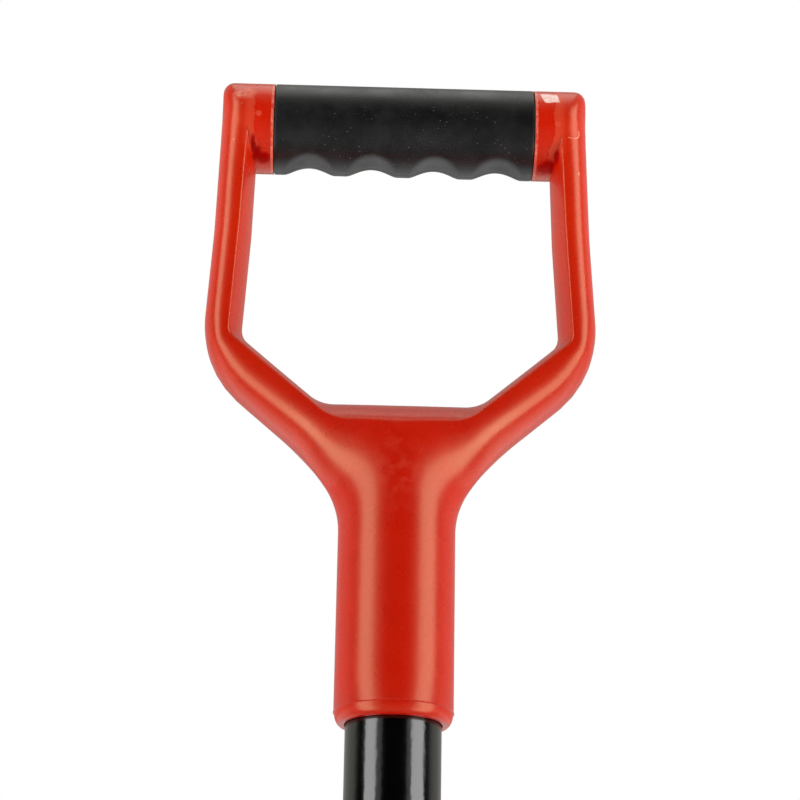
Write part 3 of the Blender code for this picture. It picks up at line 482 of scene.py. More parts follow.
def handleRows():
    # Rows of points over a quarter of the moulding.
    outlines = handleOutlines()
    outer, inner, crease = outlines
    outerStops, innerStops = spanStops(outer), spanStops(inner)

    def straightX(outline, height):
        start, end = outline[-1][1](0), outline[-1][1](1)
        return mix(start.x, end.x, (height - start.y) / (end.y - start.y))

    def armWall(share, height):
        x = mix(straightX(inner, height), straightX(crease, height), wallCurve(share))
        return Vector((x, -share * armHalfDepth(height), height))

    apexHeight = barMeetsWall(1.0)
    apex = armWall(1.0, apexHeight)

    # Socket, rolled lip with its fine ridge, and sleeve
    front = [ringRow(0.0, hp.socketDepth)]
    front += [ringRow(hp.boreRadius, height) for height in (hp.socketDepth, -hp.lip)]
    lipInner = hp.boreRadius + hp.lipFlat * (hp.sleeveRadius - hp.boreRadius)
    for step in range(hp.lipSteps + 1):
        angle = math.pi / 2 * step / hp.lipSteps
        radius = mix(lipInner, hp.sleeveRadius - hp.lipRidge, math.sin(angle))
        front.append(ringRow(radius, -hp.lip * math.cos(angle)))
    for rise, out in hp.ridgeShape:
        front.append(ringRow(hp.sleeveRadius + hp.lipRidge * out, hp.lipRidge * rise))
    ridgeTop = hp.ridgeShape[-1][0] * hp.lipRidge
    for step in range(1, hp.sleeveRows + 1):
        height = mix(ridgeTop, hp.sleeveLength, step / hp.sleeveRows)
        front.append(ringRow(hp.sleeveRadius, height))

    # Funnel, up to the crotch
    creaseHeight = hp.crotchHeight - hp.wallRuns[0] - hp.crotchFillet
    stations = handleStations(outlines)
    for step in range(1, hp.throatRows):
        share = step / hp.throatRows
        start = Vector((0.0, mix(hp.sleeveLength, creaseHeight, share)))
        end = pointAlong(outer, mix(outerStops[1], stations[0][0], share))
        halfDepth = mix(hp.sleeveRadius, hp.crotchHalfDepth, ease(share))
        roundness = mix(hp.sleeveRoundness, hp.funnelRoundness, ease(share))
        front.append(frontRow(start, end, halfDepth, roundness))

    # Round the hand opening, and up the arm to the bar
    walls = []
    elbowMarks = stations[-1]
    elbowHeights = [pointAlong(line, at).y for line, at in zip(outlines, elbowMarks)]
    for step in range(1, hp.armRows):
        share = step / hp.armRows
        stations.append([
            mark + (apexHeight - height) * share for mark, height in zip(elbowMarks, elbowHeights)
        ])
    squeezeFrom = mix(elbowHeights[1], apexHeight, hp.squeezeShare)
    for atOuter, atInner, atCrease in stations:
        end = pointAlong(outer, atOuter)
        crest = pointAlong(inner, atInner)
        edge = pointAlong(crease, atCrease)
        height = crest.y
        depthShare = ease(atInner / innerStops[3])
        halfDepth = mix(hp.crotchHalfDepth, armHalfDepth(height), depthShare)
        roundness = mix(hp.funnelRoundness, hp.armRoundness, depthShare)
        fading = min(max((apexHeight - height) / hp.filletFade, 0.0), 1.0)
        fillet = mix(hp.crotchFillet, hp.armFillet, ease(atInner / innerStops[2])) * fading
        outwards = (edge - crest).normalized()
        front.append(frontRow(edge + outwards * fillet, end, halfDepth, roundness))
        firstShare = 1 - hp.filletDrop * fillet / halfDepth
        wall = []
        for step in range(hp.wallSteps + 1):
            share = mix(firstShare, 0.0, step / hp.wallSteps)
            if height > squeezeFrom:
                # Upper rows bend to follow the underside of the bar.
                rise = (height - squeezeFrom) / (apexHeight - squeezeFrom)
                wall.append(armWall(share, mix(squeezeFrom, barMeetsWall(share), rise)))
            else:
                place = crest.lerp(edge, wallCurve(share))
                wall.append(Vector((place.x, -share * halfDepth, place.y)))
        corner = Vector((edge.x, -halfDepth, edge.y))
        shoulder = Vector(front[-1][0])
        rounding = []
        for step in range(hp.filletSteps):
            t = step / hp.filletSteps
            rounding.append(shoulder.lerp(corner, t).lerp(corner.lerp(wall[0], t), t))
        walls.append(rounding + wall)
    armTop = pointAlong(outer, elbowMarks[0] + apexHeight - elbowHeights[0])
    front.append(frontRow(apex.xz, armTop, -apex.y, hp.armRoundness))
    walls.append([Vector(apex)] * len(walls[0]))
    apexAngle = math.asin((apexHeight - hp.barHeight) / hp.barRadius)
    front.extend(capRows(apex, apexAngle, outer, outerStops))

    # The bar leaves the side wall.
    barrel = [barRow(apex.x, hp.barRadius, apexAngle)]
    for step in range(1, hp.wallSteps + 1):
        share = 1 - step / hp.wallSteps
        height = barMeetsWall(share)
        point = armWall(share, height)
        first = math.asin(max((height - hp.barHeight) / hp.barRadius, -1.0))
        if step == hp.wallSteps:
            first = -math.pi / 2
            point = Vector((point.x, 0.0, hp.barHeight - hp.barRadius))
        walls[-1][hp.filletSteps + step] = point
        barrel.append([point] + barRow(point.x, hp.barRadius, first)[1:])
    edge = hp.barrelRound
    barrel.append(barRow(hp.barrelEnd + 2 * edge, hp.barRadius, -math.pi / 2))
    for step in range(hp.barrelSteps + 1):
        angle = math.pi / 2 * step / hp.barrelSteps
        x = hp.barrelEnd + edge * (1 - math.sin(angle))
        barrel.append(barRow(x, hp.barRadius - edge * (1 - math.cos(angle)), -math.pi / 2))
    barrel.append(barRow(hp.barrelEnd, hp.coreRadius, -math.pi / 2))
    barrel.append(barRow(0.0, hp.coreRadius, -math.pi / 2))
    return front, barrel, walls


def cutScrewRecess(handle):
    low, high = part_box("yoke_screw")
    centre = (0, hp.sleeveRadius - hp.recessDepth + hp.cutterLength / 2, (low.z + high.z) / 2)
    cutter = addCylinder(
        "screwRecess", hp.recessRadius, hp.cutterLength, centre, hp.recessAround,
        turn=(-math.pi / 2, 0, 0),
    )
    cutWith(handle, cutter)


def makeHandle():
    front, barrel, walls = handleRows()
    bm = bmesh.new()
    skinRows(bm, front)
    skinRows(bm, barrel)
    skinRows(bm, [list(reversed(row)) for row in walls])
    piece = pieceFrom(bm, "handleMoulding", lift=sleeveFoot)
    addModifier(piece, "MIRROR", use_axis=(True, True, False), merge_threshold=mirrorMerge)
    applyAll(piece)
    pointOutwards(piece)
    cutScrewRecess(piece)
    return piece


# Rubber grip with its finger hollows

gripPlan = {
    "length": 0.0922, "gap": 0.0003, "endRound": 0.00012,
    "fingers": 4, "pitch": 0.0224, "depth": 0.0025, "hollowRadius": 0.0109,
    "shoulder": 0.0025, "rim": 0.0010, "wrap": 48,
    "around": 96, "along": 184,
}
gp = SimpleNamespace(**gripPlan)


def hollowDepth(x):
    nearest = min(abs(x - (k - (gp.fingers - 1) / 2) * gp.pitch) for k in range(gp.fingers))
    hollow = math.sqrt(max(gp.hollowRadius**2 - nearest**2, 0.0)) - (gp.hollowRadius - gp.depth)
    return -softMin(-hollow, 0.0, gp.shoulder)


def gripRadius(x, angle):
    # The angle is measured from the underside towards the back.
    depth = hollowDepth(x)
    beyond = max(-angle, angle - math.radians(gp.wrap), 0.0)
    if depth <= 0.0 or beyond >= math.pi / 2:
        return hp.barRadius
    return softMin(hp.barRadius, (hp.barRadius - depth) / math.cos(beyond), min(gp.rim, depth))


def makeGrip():
    half = gp.length / 2
    places = [mix(-half, half, k / gp.along) for k in range(gp.along + 1)]
    inner = hp.coreRadius + gp.gap
    angles = [2 * math.pi * k / gp.around for k in range(gp.around)]
    rings = []
    for x in places:
        past = max(gp.endRound - (half - abs(x)), 0.0)
        rounding = gp.endRound - math.sqrt(max(gp.endRound**2 - past**2, 0.0))
        ring = []
        for angle in angles:
            fold = angle if angle < math.pi + math.radians(gp.wrap) / 2 else angle - 2 * math.pi
            radius = gripRadius(x, fold) - rounding
            ring.append((x, radius * math.sin(angle), -radius * math.cos(angle)))
        rings.append(ring)
    bore = [(inner * math.sin(angle), -inner * math.cos(angle)) for angle in angles]
    for x in (places[-1], places[0]):
        rings.append([(x, y, z) for y, z in bore])
    rings.append(rings[0])
    bm = bmesh.new()
    skinRows(bm, rings, closed=True)
    piece = pieceFrom(bm, "gripSleeve", lift=sleeveFoot + hp.barHeight)
    pointOutwards(piece)
    return piece


# Shaft tube

shaftPlan = {"wall": 0.0015, "bevel": 0.0003, "bevelFrom": 50, "around": 128}


def makeShaft():
    plan = shaftPlan
    low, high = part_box("shaft_tube")
    centre = (0, 0, (low.z + high.z) / 2)
    piece = addCylinder("shaftTube", high.x, high.z - low.z, centre, plan["around"], ends="NOTHING")
    settle(piece)
    addModifier(piece, "SOLIDIFY", thickness=plan["wall"], offset=-1.0, use_even_offset=True)
    addModifier(
        piece, "BEVEL", width=plan["bevel"], segments=2,
        limit_method="ANGLE", angle_limit=math.radians(plan["bevelFrom"]),
    )
    applyAll(piece)
    pointOutwards(piece)
    return piece


# Blade, pressed from one sheet that closes into the socket

bladePlan = {
    "length": 0.290, "topWidth": 0.190, "tipWidth": 0.168,
    "thickness": 0.0022, "edgeThickness": 0.0006, "edgeBevel": 0.009, "edgeRows": 3,
    "sheetBevel": 0.00022, "bevelFrom": 55,
    "edgeRise": 0.006, "tipCorner": 0.014,
    "dish": 0.004, "wingTopY": 0.0030, "wingTipY": -0.0060, "wingBendEase": 1.5,
    "frogLength": 0.190, "flankRadius": 0.0070,
    "neckMargin": 0.0030, "neckFillet": 0.0080, "neckHold": 0.0140, "closingEase": 0.7,
    "socketLength": 0.155, "closing": 0.046, "neckRadius": 0.0158, "socketRadius": 0.0174,
    "seam": 0.0010,
    "rolledColumns": 26, "wingColumns": 16, "wingCrowding": 1.4, "walkStep": 0.0004,
    "lowerRows": 64, "filletRows": (0.03, 0.10, 0.22, 0.40, 0.65, 1.0),
    "closingRows": 22, "socketRows": 14,
}
bp = SimpleNamespace(**bladePlan)


def closingShare(z):
    return ease((z - bp.length) / bp.closing) ** bp.closingEase


def sheetRadius(z):
    return mix(bp.neckRadius, bp.socketRadius, ease((z - bp.length) / bp.closing))


def frogAngle(z):
    # Steepest angle of the frog's flank: none at the frog's lower end.
    steepest = math.acos(1 - (bp.neckRadius + bp.wingTopY) / (bp.neckRadius + bp.flankRadius))
    return steepest * ease((z - (bp.length - bp.frogLength)) / bp.frogLength)


def wingY(x, z):
    share = min(max(1 - z / bp.length, 0.0), 1.0)
    bend = mix(bp.wingTopY, bp.wingTipY, share**bp.wingBendEase)
    return bend - bp.dish * (x / (bp.topWidth / 2)) ** 2


def sheetAngle(s, z):
    steepest = frogAngle(z)
    crown = bp.neckRadius * steepest
    if s < crown:
        openAngle = s / bp.neckRadius
    else:
        openAngle = max(steepest - (s - crown) / bp.flankRadius, 0.0)
    return mix(openAngle, s / sheetRadius(z), closingShare(z))


def sheetHalfWidth(z):
    flankEnd = (bp.neckRadius + bp.flankRadius) * frogAngle(bp.length)
    closed = math.pi * sheetRadius(z) - bp.seam / 2
    widening = ease((z - bp.length - bp.neckHold) / (bp.closing - bp.neckHold))
    width = mix(flankEnd + bp.neckMargin, closed, widening)
    below = min(max(bp.length + bp.neckFillet - z, 0.0), bp.neckFillet)
    return width + bp.neckFillet - math.sqrt(bp.neckFillet**2 - below**2)


def sheetSection(z, distances):
    # Walks across the sheet and notes the points at these developed distances.
    steps = math.ceil(distances[-1] / bp.walkStep)
    step = distances[-1] / steps
    x, y, walked = 0.0, 0.0, 0.0
    found, pending = [], list(distances)
    for _ in range(steps + 1):
        angle = sheetAngle(walked + step / 2, z)
        while pending and pending[0] <= walked + step + roundOff:
            part = pending.pop(0) - walked
            found.append((x + math.cos(angle) * part, y + math.sin(angle) * part))
        x += math.cos(angle) * step
        y += math.sin(angle) * step
        walked += step
    return found


def tipHeight(x, halfWidth):
    rise = bp.edgeRise * (x / halfWidth) ** 2
    past = x - (halfWidth - bp.tipCorner)
    if past > 0:
        rise += bp.tipCorner - math.sqrt(max(bp.tipCorner**2 - past**2, 0.0))
    return rise


def bladePoint(index, z, rolledShares, wingShares):
    rolled = sheetHalfWidth(max(z, bp.length))
    section = sheetSection(z, [share * rolled for share in rolledShares])
    if z >= bp.length:
        frontY = -sheetRadius(z)
    else:
        frontY = wingY(0.0, z) - (bp.neckRadius + bp.flankRadius) * (1 - math.cos(frogAngle(z)))
    if index < len(rolledShares):
        x, y = section[index]
        dish = wingY(x, z) - wingY(0.0, z)
        return x, y + frontY + dish * (1 - closingShare(z)), z
    half = mix(bp.tipWidth, bp.topWidth, min(z / bp.length, 1.0)) / 2
    x = mix(section[-1][0], half, wingShares[index - len(rolledShares)])
    return x, wingY(x, z), z


def makeBlade():
    tipHalf = bp.tipWidth / 2
    rolled = sheetHalfWidth(bp.length)
    rolledShares = [k / bp.rolledColumns for k in range(bp.rolledColumns + 1)]
    wingShares = [
        1 - (1 - k / bp.wingColumns) ** bp.wingCrowding for k in range(1, bp.wingColumns + 1)
    ]
    foot = [share * rolled for share in rolledShares]
    foot += [mix(rolled, tipHalf, share) for share in wingShares]

    def pointsAt(heights):
        return [bladePoint(k, z, rolledShares, wingShares) for k, z in enumerate(heights)]

    rows = []
    bevelTops = [tipHeight(across, tipHalf) + bp.edgeBevel for across in foot]
    for i in range(bp.edgeRows):
        rows.append(pointsAt([top - bp.edgeBevel * (1 - i / bp.edgeRows) for top in bevelTops]))
    for i in range(bp.lowerRows + 1):
        rows.append(pointsAt([mix(top, bp.length, i / bp.lowerRows) for top in bevelTops]))
    rises = [bp.neckFillet * share for share in bp.filletRows]
    for start, end, count in (
        (bp.neckFillet, bp.closing, bp.closingRows),
        (bp.closing, bp.socketLength, bp.socketRows),
    ):
        rises += [mix(start, end, (k + 1) / count) for k in range(count)]
    for rise in rises:
        rows.append(pointsAt([bp.length + rise] * len(rolledShares)))
    bm = bmesh.new()
    skinRows(bm, rows)
    piece = pieceFrom(bm, "bladeSheet")
    addModifier(piece, "MIRROR", use_axis=(True, False, False), merge_threshold=mirrorMerge)
    applyAll(piece)
    thin = bp.edgeThickness / bp.thickness
    group = piece.vertex_groups.new(name="thickness")
    for vertex in piece.data.vertices:
        above = vertex.co.z - tipHeight(min(abs(vertex.co.x), tipHalf), tipHalf)
        share = min(max(above / bp.edgeBevel, 0.0), 1.0)
        group.add([vertex.index], mix(thin, 1.0, share), "REPLACE")
    addModifier(
        piece, "SOLIDIFY", thickness=bp.thickness, offset=0.0, use_even_offset=True,
        vertex_group="thickness", thickness_vertex_group=0.0,
    )
    addModifier(
        piece, "BEVEL", width=bp.sheetBevel, segments=2, use_clamp_overlap=True,
        limit_method="ANGLE", angle_limit=math.radians(bp.bevelFrom),
    )
    applyAll(piece)
    pointOutwards(piece)
    return piece


# Rivets and screw

rivetPlan = {
    "radius": 0.003, "headRadius": 0.0055, "headHeight": 0.0026,
    "headWall": 0.25,                      # upright share of the head's height
    "headRings": 9, "around": 56,
}
screwPlan = {
    "radius": 0.00225, "headRadius": 0.0045, "headHeight": 0.0024,
    "headWall": 0.25, "headRings": 9, "around": 56,
    "crossLength": 0.0048, "crossWidth": 0.0009, "crossDepth": 0.0013,
}


def growEnd(piece, sign, steps, axis):
    # Shapes one end of a pin by extruding its end face through (outward move, scale) steps.
    squareOn = 0.99

    def isEnd(face):
        level = abs(sign * face.center[axis] - tip) < sameLevel
        return level and sign * face.normal[axis] > squareOn

    for move, scale in steps:
        objectMode()
        mesh = piece.data
        tip = max(sign * mesh.vertices[v].co[axis] for face in mesh.polygons for v in face.vertices)
        chooseFaces(piece, isEnd)
        shift = [0.0, 0.0, 0.0]
        shift[axis] = sign * move
        bpy.ops.mesh.extrude_region_move(TRANSFORM_OT_translate={"value": shift})
        bpy.ops.transform.resize(value=[1.0 if k == axis else scale for k in range(3)])
    objectMode()
    sortParts(piece)


def domeSteps(plan):
    # First out to the head's radius, then up and in over the dome.
    wall, rings = plan["headWall"], plan["headRings"]
    radius, height = plan["headRadius"], plan["headHeight"]
    steps = [(0.0, radius / plan["radius"]), (wall * height, 1.0)]
    before, level = radius, 0.0
    for k in range(1, rings):
        angle = math.pi / 2 * k / rings
        now, rise = radius * math.cos(angle), (1 - wall) * height * math.sin(angle)
        steps.append((rise - level, now / before))
        before, level = now, rise
    return steps


def makeRivet(nodeName, pieceName):
    plan = rivetPlan
    low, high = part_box(nodeName)
    length = 2 * (high.x - plan["headHeight"])
    centre = (0, 0, (low.z + high.z) / 2)
    piece = addCylinder(
        pieceName, plan["radius"], length, centre, plan["around"], turn=(0, math.pi / 2, 0)
    )
    settle(piece)
    for sign in (1, -1):
        growEnd(piece, sign, domeSteps(plan), 0)
    pointOutwards(piece)
    return piece


def makeScrew():
    plan = screwPlan
    low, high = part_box("yoke_screw")
    seat = high.y - plan["headHeight"]
    middle = ((low.x + high.x) / 2, (low.y + seat) / 2, (low.z + high.z) / 2)
    piece = addCylinder(
        "yokeScrew", plan["radius"], seat - low.y, middle, plan["around"], turn=(-math.pi / 2, 0, 0)
    )
    settle(piece)
    growEnd(piece, 1, domeSteps(plan), 1)
    for turn in (math.pi / 4, 3 * math.pi / 4):
        centre = (0, high.y, middle[2])
        bpy.ops.mesh.primitive_cube_add(
            size=1, calc_uvs=False, location=centre, rotation=(0, turn, 0)
        )
        slot = newest("crossCutter")
        slot.scale = (plan["crossLength"], 2 * plan["crossDepth"], plan["crossWidth"])
        settle(slot)
        cutWith(piece, slot)
    pointOutwards(piece)
    return piece


# Treads and welds

treadPlan = {"corner": 0.0045, "cornerSteps": 12, "edge": 0.0007, "edgeSteps": 5}
weldPlan = {
    "leg": 0.0032, "offSheet": 0.0003, "belly": 0.20,
    "pitch": 0.0013, "ripple": 0.07, "slant": 0.35,
    "endMargin": 0.03, "seamEndMargin": 0.02, "endPower": 0.35,
    "seamBow": 60, "seamNarrowing": 0.9,
    "around": 48, "loops": 120, "seamLoops": 200,
}


def makeTread(nodeName, pieceName):
    low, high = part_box(nodeName)
    bpy.ops.mesh.primitive_cube_add(size=1, calc_uvs=False, location=(low + high) / 2)
    piece = newest(pieceName)
    piece.scale = high - low
    settle(piece)

    def isUpright(a, b):
        return abs(a.z - b.z) > sameLevel

    def isRim(a, b):
        return not isUpright(a, b) and min(abs(a.z - low.z), abs(a.z - high.z)) < sameLevel

    for test, size in ((isUpright, "corner"), (isRim, "edge")):
        chooseEdges(piece, test)
        segments = treadPlan[size + "Steps"]
        bpy.ops.mesh.bevel(offset=treadPlan[size], segments=segments, affect="EDGES")
    pointOutwards(piece)
    return piece


def sliceOff(piece, place, way):
    # Cuts away what lies beyond the plane, and closes the cut.
    bpy.ops.mesh.select_all(action="SELECT")
    bpy.ops.mesh.bisect(plane_co=place, plane_no=way, use_fill=True, clear_outer=True)


def loopsAlong(piece, axis, start, end, count):
    editMode(piece)
    for k in range(1, count):
        place, way = [0.0] * 3, [0.0] * 3
        place[axis], way[axis] = mix(start, end, k / count), 1.0
        bpy.ops.mesh.select_all(action="SELECT")
        bpy.ops.mesh.bisect(plane_co=place, plane_no=way)
    objectMode()


def beadSize(share, margin, place):
    # The bead tapers to its ends and ripples along its length.
    taper = math.sin(math.pi * mix(margin, 1 - margin, share)) ** weldPlan["endPower"]
    ripple = 1 - weldPlan["ripple"] * (1 + math.cos(2 * math.pi * place / weldPlan["pitch"]))
    return taper, ripple


def makeTreadWeld(nodeName, pieceName, face):
    # A quarter round in the corner under the tread, then rippled.
    plan = weldPlan
    low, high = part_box(nodeName)
    leg, length = plan["leg"], high.x - low.x
    middle = (low.x + high.x) / 2
    offSheet = face * (bp.thickness / 2 + plan["offSheet"])
    root = wingY(middle, bp.length) + offSheet
    piece = addCylinder(
        pieceName, leg, length, (middle, root, high.z), plan["around"], turn=(0, math.pi / 2, 0)
    )
    settle(piece)
    editMode(piece)
    sliceOff(piece, (0, root, 0), (0, -face, 0))
    sliceOff(piece, (0, 0, high.z), (0, 0, 1))
    loopsAlong(piece, 0, low.x, high.x, plan["loops"])
    for vertex in piece.data.vertices:
        place = vertex.co
        share = (place.x - low.x) / length
        taper, ripple = beadSize(share, plan["endMargin"], place.x + plan["slant"] * place.z)
        out, down = (place.y - root) / leg, (high.z - place.z) / leg
        belly = 1.0
        if out or down:
            hollow = abs(math.cos(2 * math.atan2(down, face * out + roundOff)))
            belly = mix(1 - plan["belly"], 1.0, hollow)
        size = leg * taper * ripple * belly
        place.y = wingY(place.x, bp.length) + offSheet + size * out
        place.z = high.z - size * down
    pointOutwards(piece)
    return piece


def makeSeamWeld():
    # A half round on the socket's rear seam, bent to the socket and rippled.
    plan = weldPlan
    low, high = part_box("socket_seam_weld")
    half, length = high.x, high.z - low.z
    under = bp.socketRadius + bp.thickness / 2 + plan["offSheet"]
    centre = (0, under, (low.z + high.z) / 2)
    piece = addCylinder("socketSeamWeld", half, length, centre, plan["around"])
    settle(piece)
    editMode(piece)
    sliceOff(piece, (0, under, 0), (0, -1, 0))
    loopsAlong(piece, 2, low.z, high.z, plan["seamLoops"])
    for vertex in piece.data.vertices:
        place = vertex.co
        share = (place.z - low.z) / length
        bow = plan["seamBow"] * place.x**2
        taper, ripple = beadSize(share, plan["seamEndMargin"], place.z - bow)
        rise = (place.y - under) / half
        place.x *= mix(plan["seamNarrowing"], 1.0, ripple) * taper
        place.y = math.sqrt(under**2 - place.x**2) + rise * (high.y - under) * taper * ripple
    pointOutwards(piece)
    return piece


# Finishes

def addNode(tree, kind, inputs, **settings):
    # Inputs, by name or number, are linked where they are sockets and set where they are values.
    node = tree.nodes.new("ShaderNode" + kind)
    for key, value in settings.items():
        setattr(node, key, value)
    for key, value in inputs.items():
        if isinstance(value, bpy.types.NodeSocket):
            tree.links.new(value, node.inputs[key])
        else:
            node.inputs[key].default_value = value
    return node


def newMaterial(name):
    material = bpy.data.materials.new(name)
    material.use_nodes = True
    tree = material.node_tree
    place = addNode(tree, "TexCoord", {}).outputs["Object"]
    return material, tree, tree.nodes["Principled BSDF"], place


def axes(tree, vector):
    return tuple(addNode(tree, "SeparateXYZ", {"Vector": vector}).outputs)


def noise(tree, place, scale, detail=2.0, roughness=0.5, stretch=None):
    if stretch:
        place = addNode(tree, "Mapping", {"Vector": place, "Scale": stretch}).outputs["Vector"]
    inputs = {"Vector": place, "Scale": scale, "Detail": detail, "Roughness": roughness}
    return addNode(tree, "TexNoise", inputs).outputs["Fac"]


def remap(tree, value, fromLow, fromHigh, toLow=0.0, toHigh=1.0, kind="LINEAR"):
    inputs = {
        "Value": value, "From Min": fromLow, "From Max": fromHigh,
        "To Min": toLow, "To Max": toHigh,
    }
    return addNode(tree, "MapRange", inputs, interpolation_type=kind).outputs["Result"]


def smooth(tree, value, fromLow, fromHigh, toLow=0.0, toHigh=1.0):
    return remap(tree, value, fromLow, fromHigh, toLow, toHigh, "SMOOTHSTEP")


def patches(tree, place, grain, levels):
    # Grain is a noise's scale, detail and roughness, and levels are from low, high, to low, high.
    return remap(tree, noise(tree, place, *grain), *levels)


def blendColours(tree, factor, first, second):
    first, second = [(*c, 1.0) if isinstance(c, tuple) else c for c in (first, second)]
    inputs = {"Factor": factor, "A": first, "B": second}
    return addNode(tree, "Mix", inputs, data_type="RGBA").outputs["Result"]


def maths(tree, operation, value, *others):
    # With several values the operation goes between each and the next.
    for other in others or (0.0,):
        inputs = {0: value, 1: other}
        value = addNode(tree, "Math", inputs, operation=operation).outputs["Value"]
    return value


def times(tree, *values):
    return maths(tree, "MULTIPLY", *values)


def bump(tree, shader, height, strength, distance):
    inputs = {"Height": height, "Strength": strength, "Distance": distance}
    tree.links.new(addNode(tree, "Bump", inputs).outputs["Normal"], shader.inputs["Normal"])


def ellipsoid(tree, place, centre, radii, soft):
    # 1 inside the ellipsoid, easing to 0 at its skin.
    inputs = {
        "Vector": place,
        "Scale": [1 / r for r in radii],
        "Location": [-c / r for c, r in zip(centre, radii)],
    }
    local = addNode(tree, "Mapping", inputs).outputs["Vector"]
    size = addNode(tree, "VectorMath", {0: local}, operation="LENGTH").outputs["Value"]
    return smooth(tree, size, 1 - soft, 1.0, 1.0, 0.0)


def spots(tree, place, parts, soft):
    # 1 inside any of the ellipsoids, each given by its centre and radii.
    return maths(tree, "MAXIMUM", *[ellipsoid(tree, place, *part, soft) for part in parts])


def ragged(tree, place, scale, amount):
    # The same coordinates, pushed about by a noise, for uneven edges.
    wander = addNode(tree, "TexNoise", {"Vector": place, "Scale": scale, "Detail": 3})
    inputs = {0: wander.outputs["Color"], 1: (amount,) * 3, 2: place}
    pushed = addNode(tree, "VectorMath", inputs, operation="MULTIPLY_ADD").outputs["Vector"]
    inputs = {0: pushed, 1: (amount / 2,) * 3}
    return addNode(tree, "VectorMath", inputs, operation="SUBTRACT").outputs["Vector"]


# Handle plastic. Places are in metres from the origin, and each mark is (centre, radii).

redPlasticLook = {
    # Sleeve, elbow, arm and cap colours: painted light and shade, lighter up the arms and over the
    # bar
    "sleeveColour": (0.432, 0.0055, 0.0),
    "elbowColour": (0.435, 0.0080, 0.0), "elbowHeights": (0.940, 0.985),
    "armColour": (0.495, 0.0115, 0.0), "armBlend": (0.022, 0.044),     # out from the middle
    "capColour": (0.520, 0.0080, 0.0), "capHeights": (1.005, 1.010), "capWidths": (0.0535, 0.0560),
    "cloudColour": (0.30, 0.0, 0.0), "clouds": ((75, 4, 0.6), (0.35, 0.75, 0.0, 0.20)),
    "roughness": ((120, 2), (0.1, 0.9, 0.25, 0.30)), "patchRoughness": 0.10,
    "gloss": 0.67, "glossTint": (1.0, 0.83, 0.49), "cornerGloss": 0.15,
    "shoulderGloss": 0.92, "shoulderSoftness": 0.9,
    "shoulders": (
        ((-0.0250, -0.0120, 0.9060), (0.0210, 0.0300, 0.0280)),
        ((0.0290, -0.0120, 0.9060), (0.0210, 0.0300, 0.0280)),
    ),
    "waves": (90, 1), "pinRelief": 0.3, "bump": (0.10, 0.0004),
}

handleMarks = {
    "unevenEdges": (420, 0.0016), "jaggedEdges": (260, 0.0030), "edgeWidth": 0.0004,
    "hazeColour": (0.560, 0.038, 0.014), "hazeFrom": 0.0532, "hazeTo": (0.0550, 0.0580, 0.8, 0.0),
    "hazeFoot": (1.0085, 1.0115), "hazeLeanBelow": 1.0170, "hazeLean": 0.35,
    # Painted shade in the corners under the bar's ends
    "shadeColour": (0.325, 0.0, 0.0), "shadeSoftness": 0.55,
    "shade": (
        ((-0.0522, -0.0087, 1.0100), (0.0022, 0.0060, 0.0034)),
        ((-0.0498, -0.0067, 1.0091), (0.0034, 0.0060, 0.0020)),
        ((-0.0534, -0.0110, 1.0124), (0.0012, 0.0060, 0.0044)),
        ((0.0518, -0.0053, 1.0090), (0.0040, 0.0060, 0.0022)),
        ((0.0545, -0.0090, 1.0107), (0.0020, 0.0060, 0.0040)),
        ((0.0496, -0.0040, 1.0086), (0.0034, 0.0060, 0.0016)),
    ),
    # Painted highlight on the rim beside the grip
    "rimHighlightColour": (0.640, 0.200, 0.140), "rimFrom": (0.0465, 0.0466), "rimTo": (0.0472, 0.0475),
    "rimBreaks": ((520, 3), (0.35, 0.6, 0.15, 0.8)), "rimFoot": (0.990, 0.991),
    # Painted highlight on the left cap's top, with rubbing and fine scratches in it
    "rubbedHighlightColour": (0.640, 0.150, 0.095), "rubbedHighlightSoftness": 0.5,
    "rubbedHighlight": (((-0.0572, -0.0120, 1.0306), (0.0048, 0.0100, 0.0036)),),
    "rubbedHighlightPatches": ((300, 4, 0.65), (0.38, 0.6, 0.25, 0.9)),
    "fineScratches": ((420, 4, 0.7, (1.0, 1.0, 2.6)), (0.57, 0.60, 0.0, 0.6)),
    # Painted reflection of a light above, on the right cap's top
    "capReflectionColour": (0.860, 0.600, 0.560), "capReflection": (0.0484, 0.0541, 1.0301, 1.0344),
    "capReflectionSkew": 0.2, "capReflectionFront": (-0.004, 0.0),
    "capReflectionPatches": ((700, 3), (0.3, 0.6, 0.55, 1.0)),
    "stainColour": (0.520, 0.045, 0.022), "stainSoftness": 0.7,
    "stained": (((0.0010, -0.0190, 0.8900), (0.0130, 0.0080, 0.0230)),),
    "stainPatches": ((260, 4, 0.6), (0.46, 0.62, 0.0, 0.30)),
    "pinColour": (0.600, 0.060, 0.030), "pinStrength": 0.7, "pinSoftness": 0.25,
    "pins": (
        ((-0.0518, -0.0161, 1.0220), (0.00125, 0.0030, 0.00125)),
        ((0.0543, -0.0159, 1.0209), (0.00125, 0.0030, 0.00125)),
    ),
    "nickColour": (0.700, 0.330, 0.260), "nickSoftness": 0.5,
    "nicks": (
        ((-0.0604, -0.0137, 1.0127), (0.0002, 0.0020, 0.0005)),
        ((-0.0515, -0.0150, 1.0146), (0.0003, 0.0020, 0.0007)),
        ((-0.0497, -0.0140, 1.0120), (0.0003, 0.0020, 0.0008)),
        ((-0.0578, -0.0162, 1.0258), (0.0002, 0.0020, 0.0002)),
        ((0.0590, -0.0144, 1.0164), (0.0012, 0.0020, 0.00012)),
        ((0.0619, -0.0128, 1.0030), (0.0002, 0.0020, 0.0008)),
        ((0.0506, -0.0155, 1.0112), (0.0004, 0.0030, 0.0004)),
    ),
    "hookCentre": (0.0599, -0.0136, 1.0185), "hookRadii": (0.00240, 0.00215), "hookDepth": 0.008,
    "hookPart": (((0.0620, -0.0134, 1.0176), (0.0022, 0.0040, 0.0024)),),
    "hookSoftness": (0.08, 0.3),
}


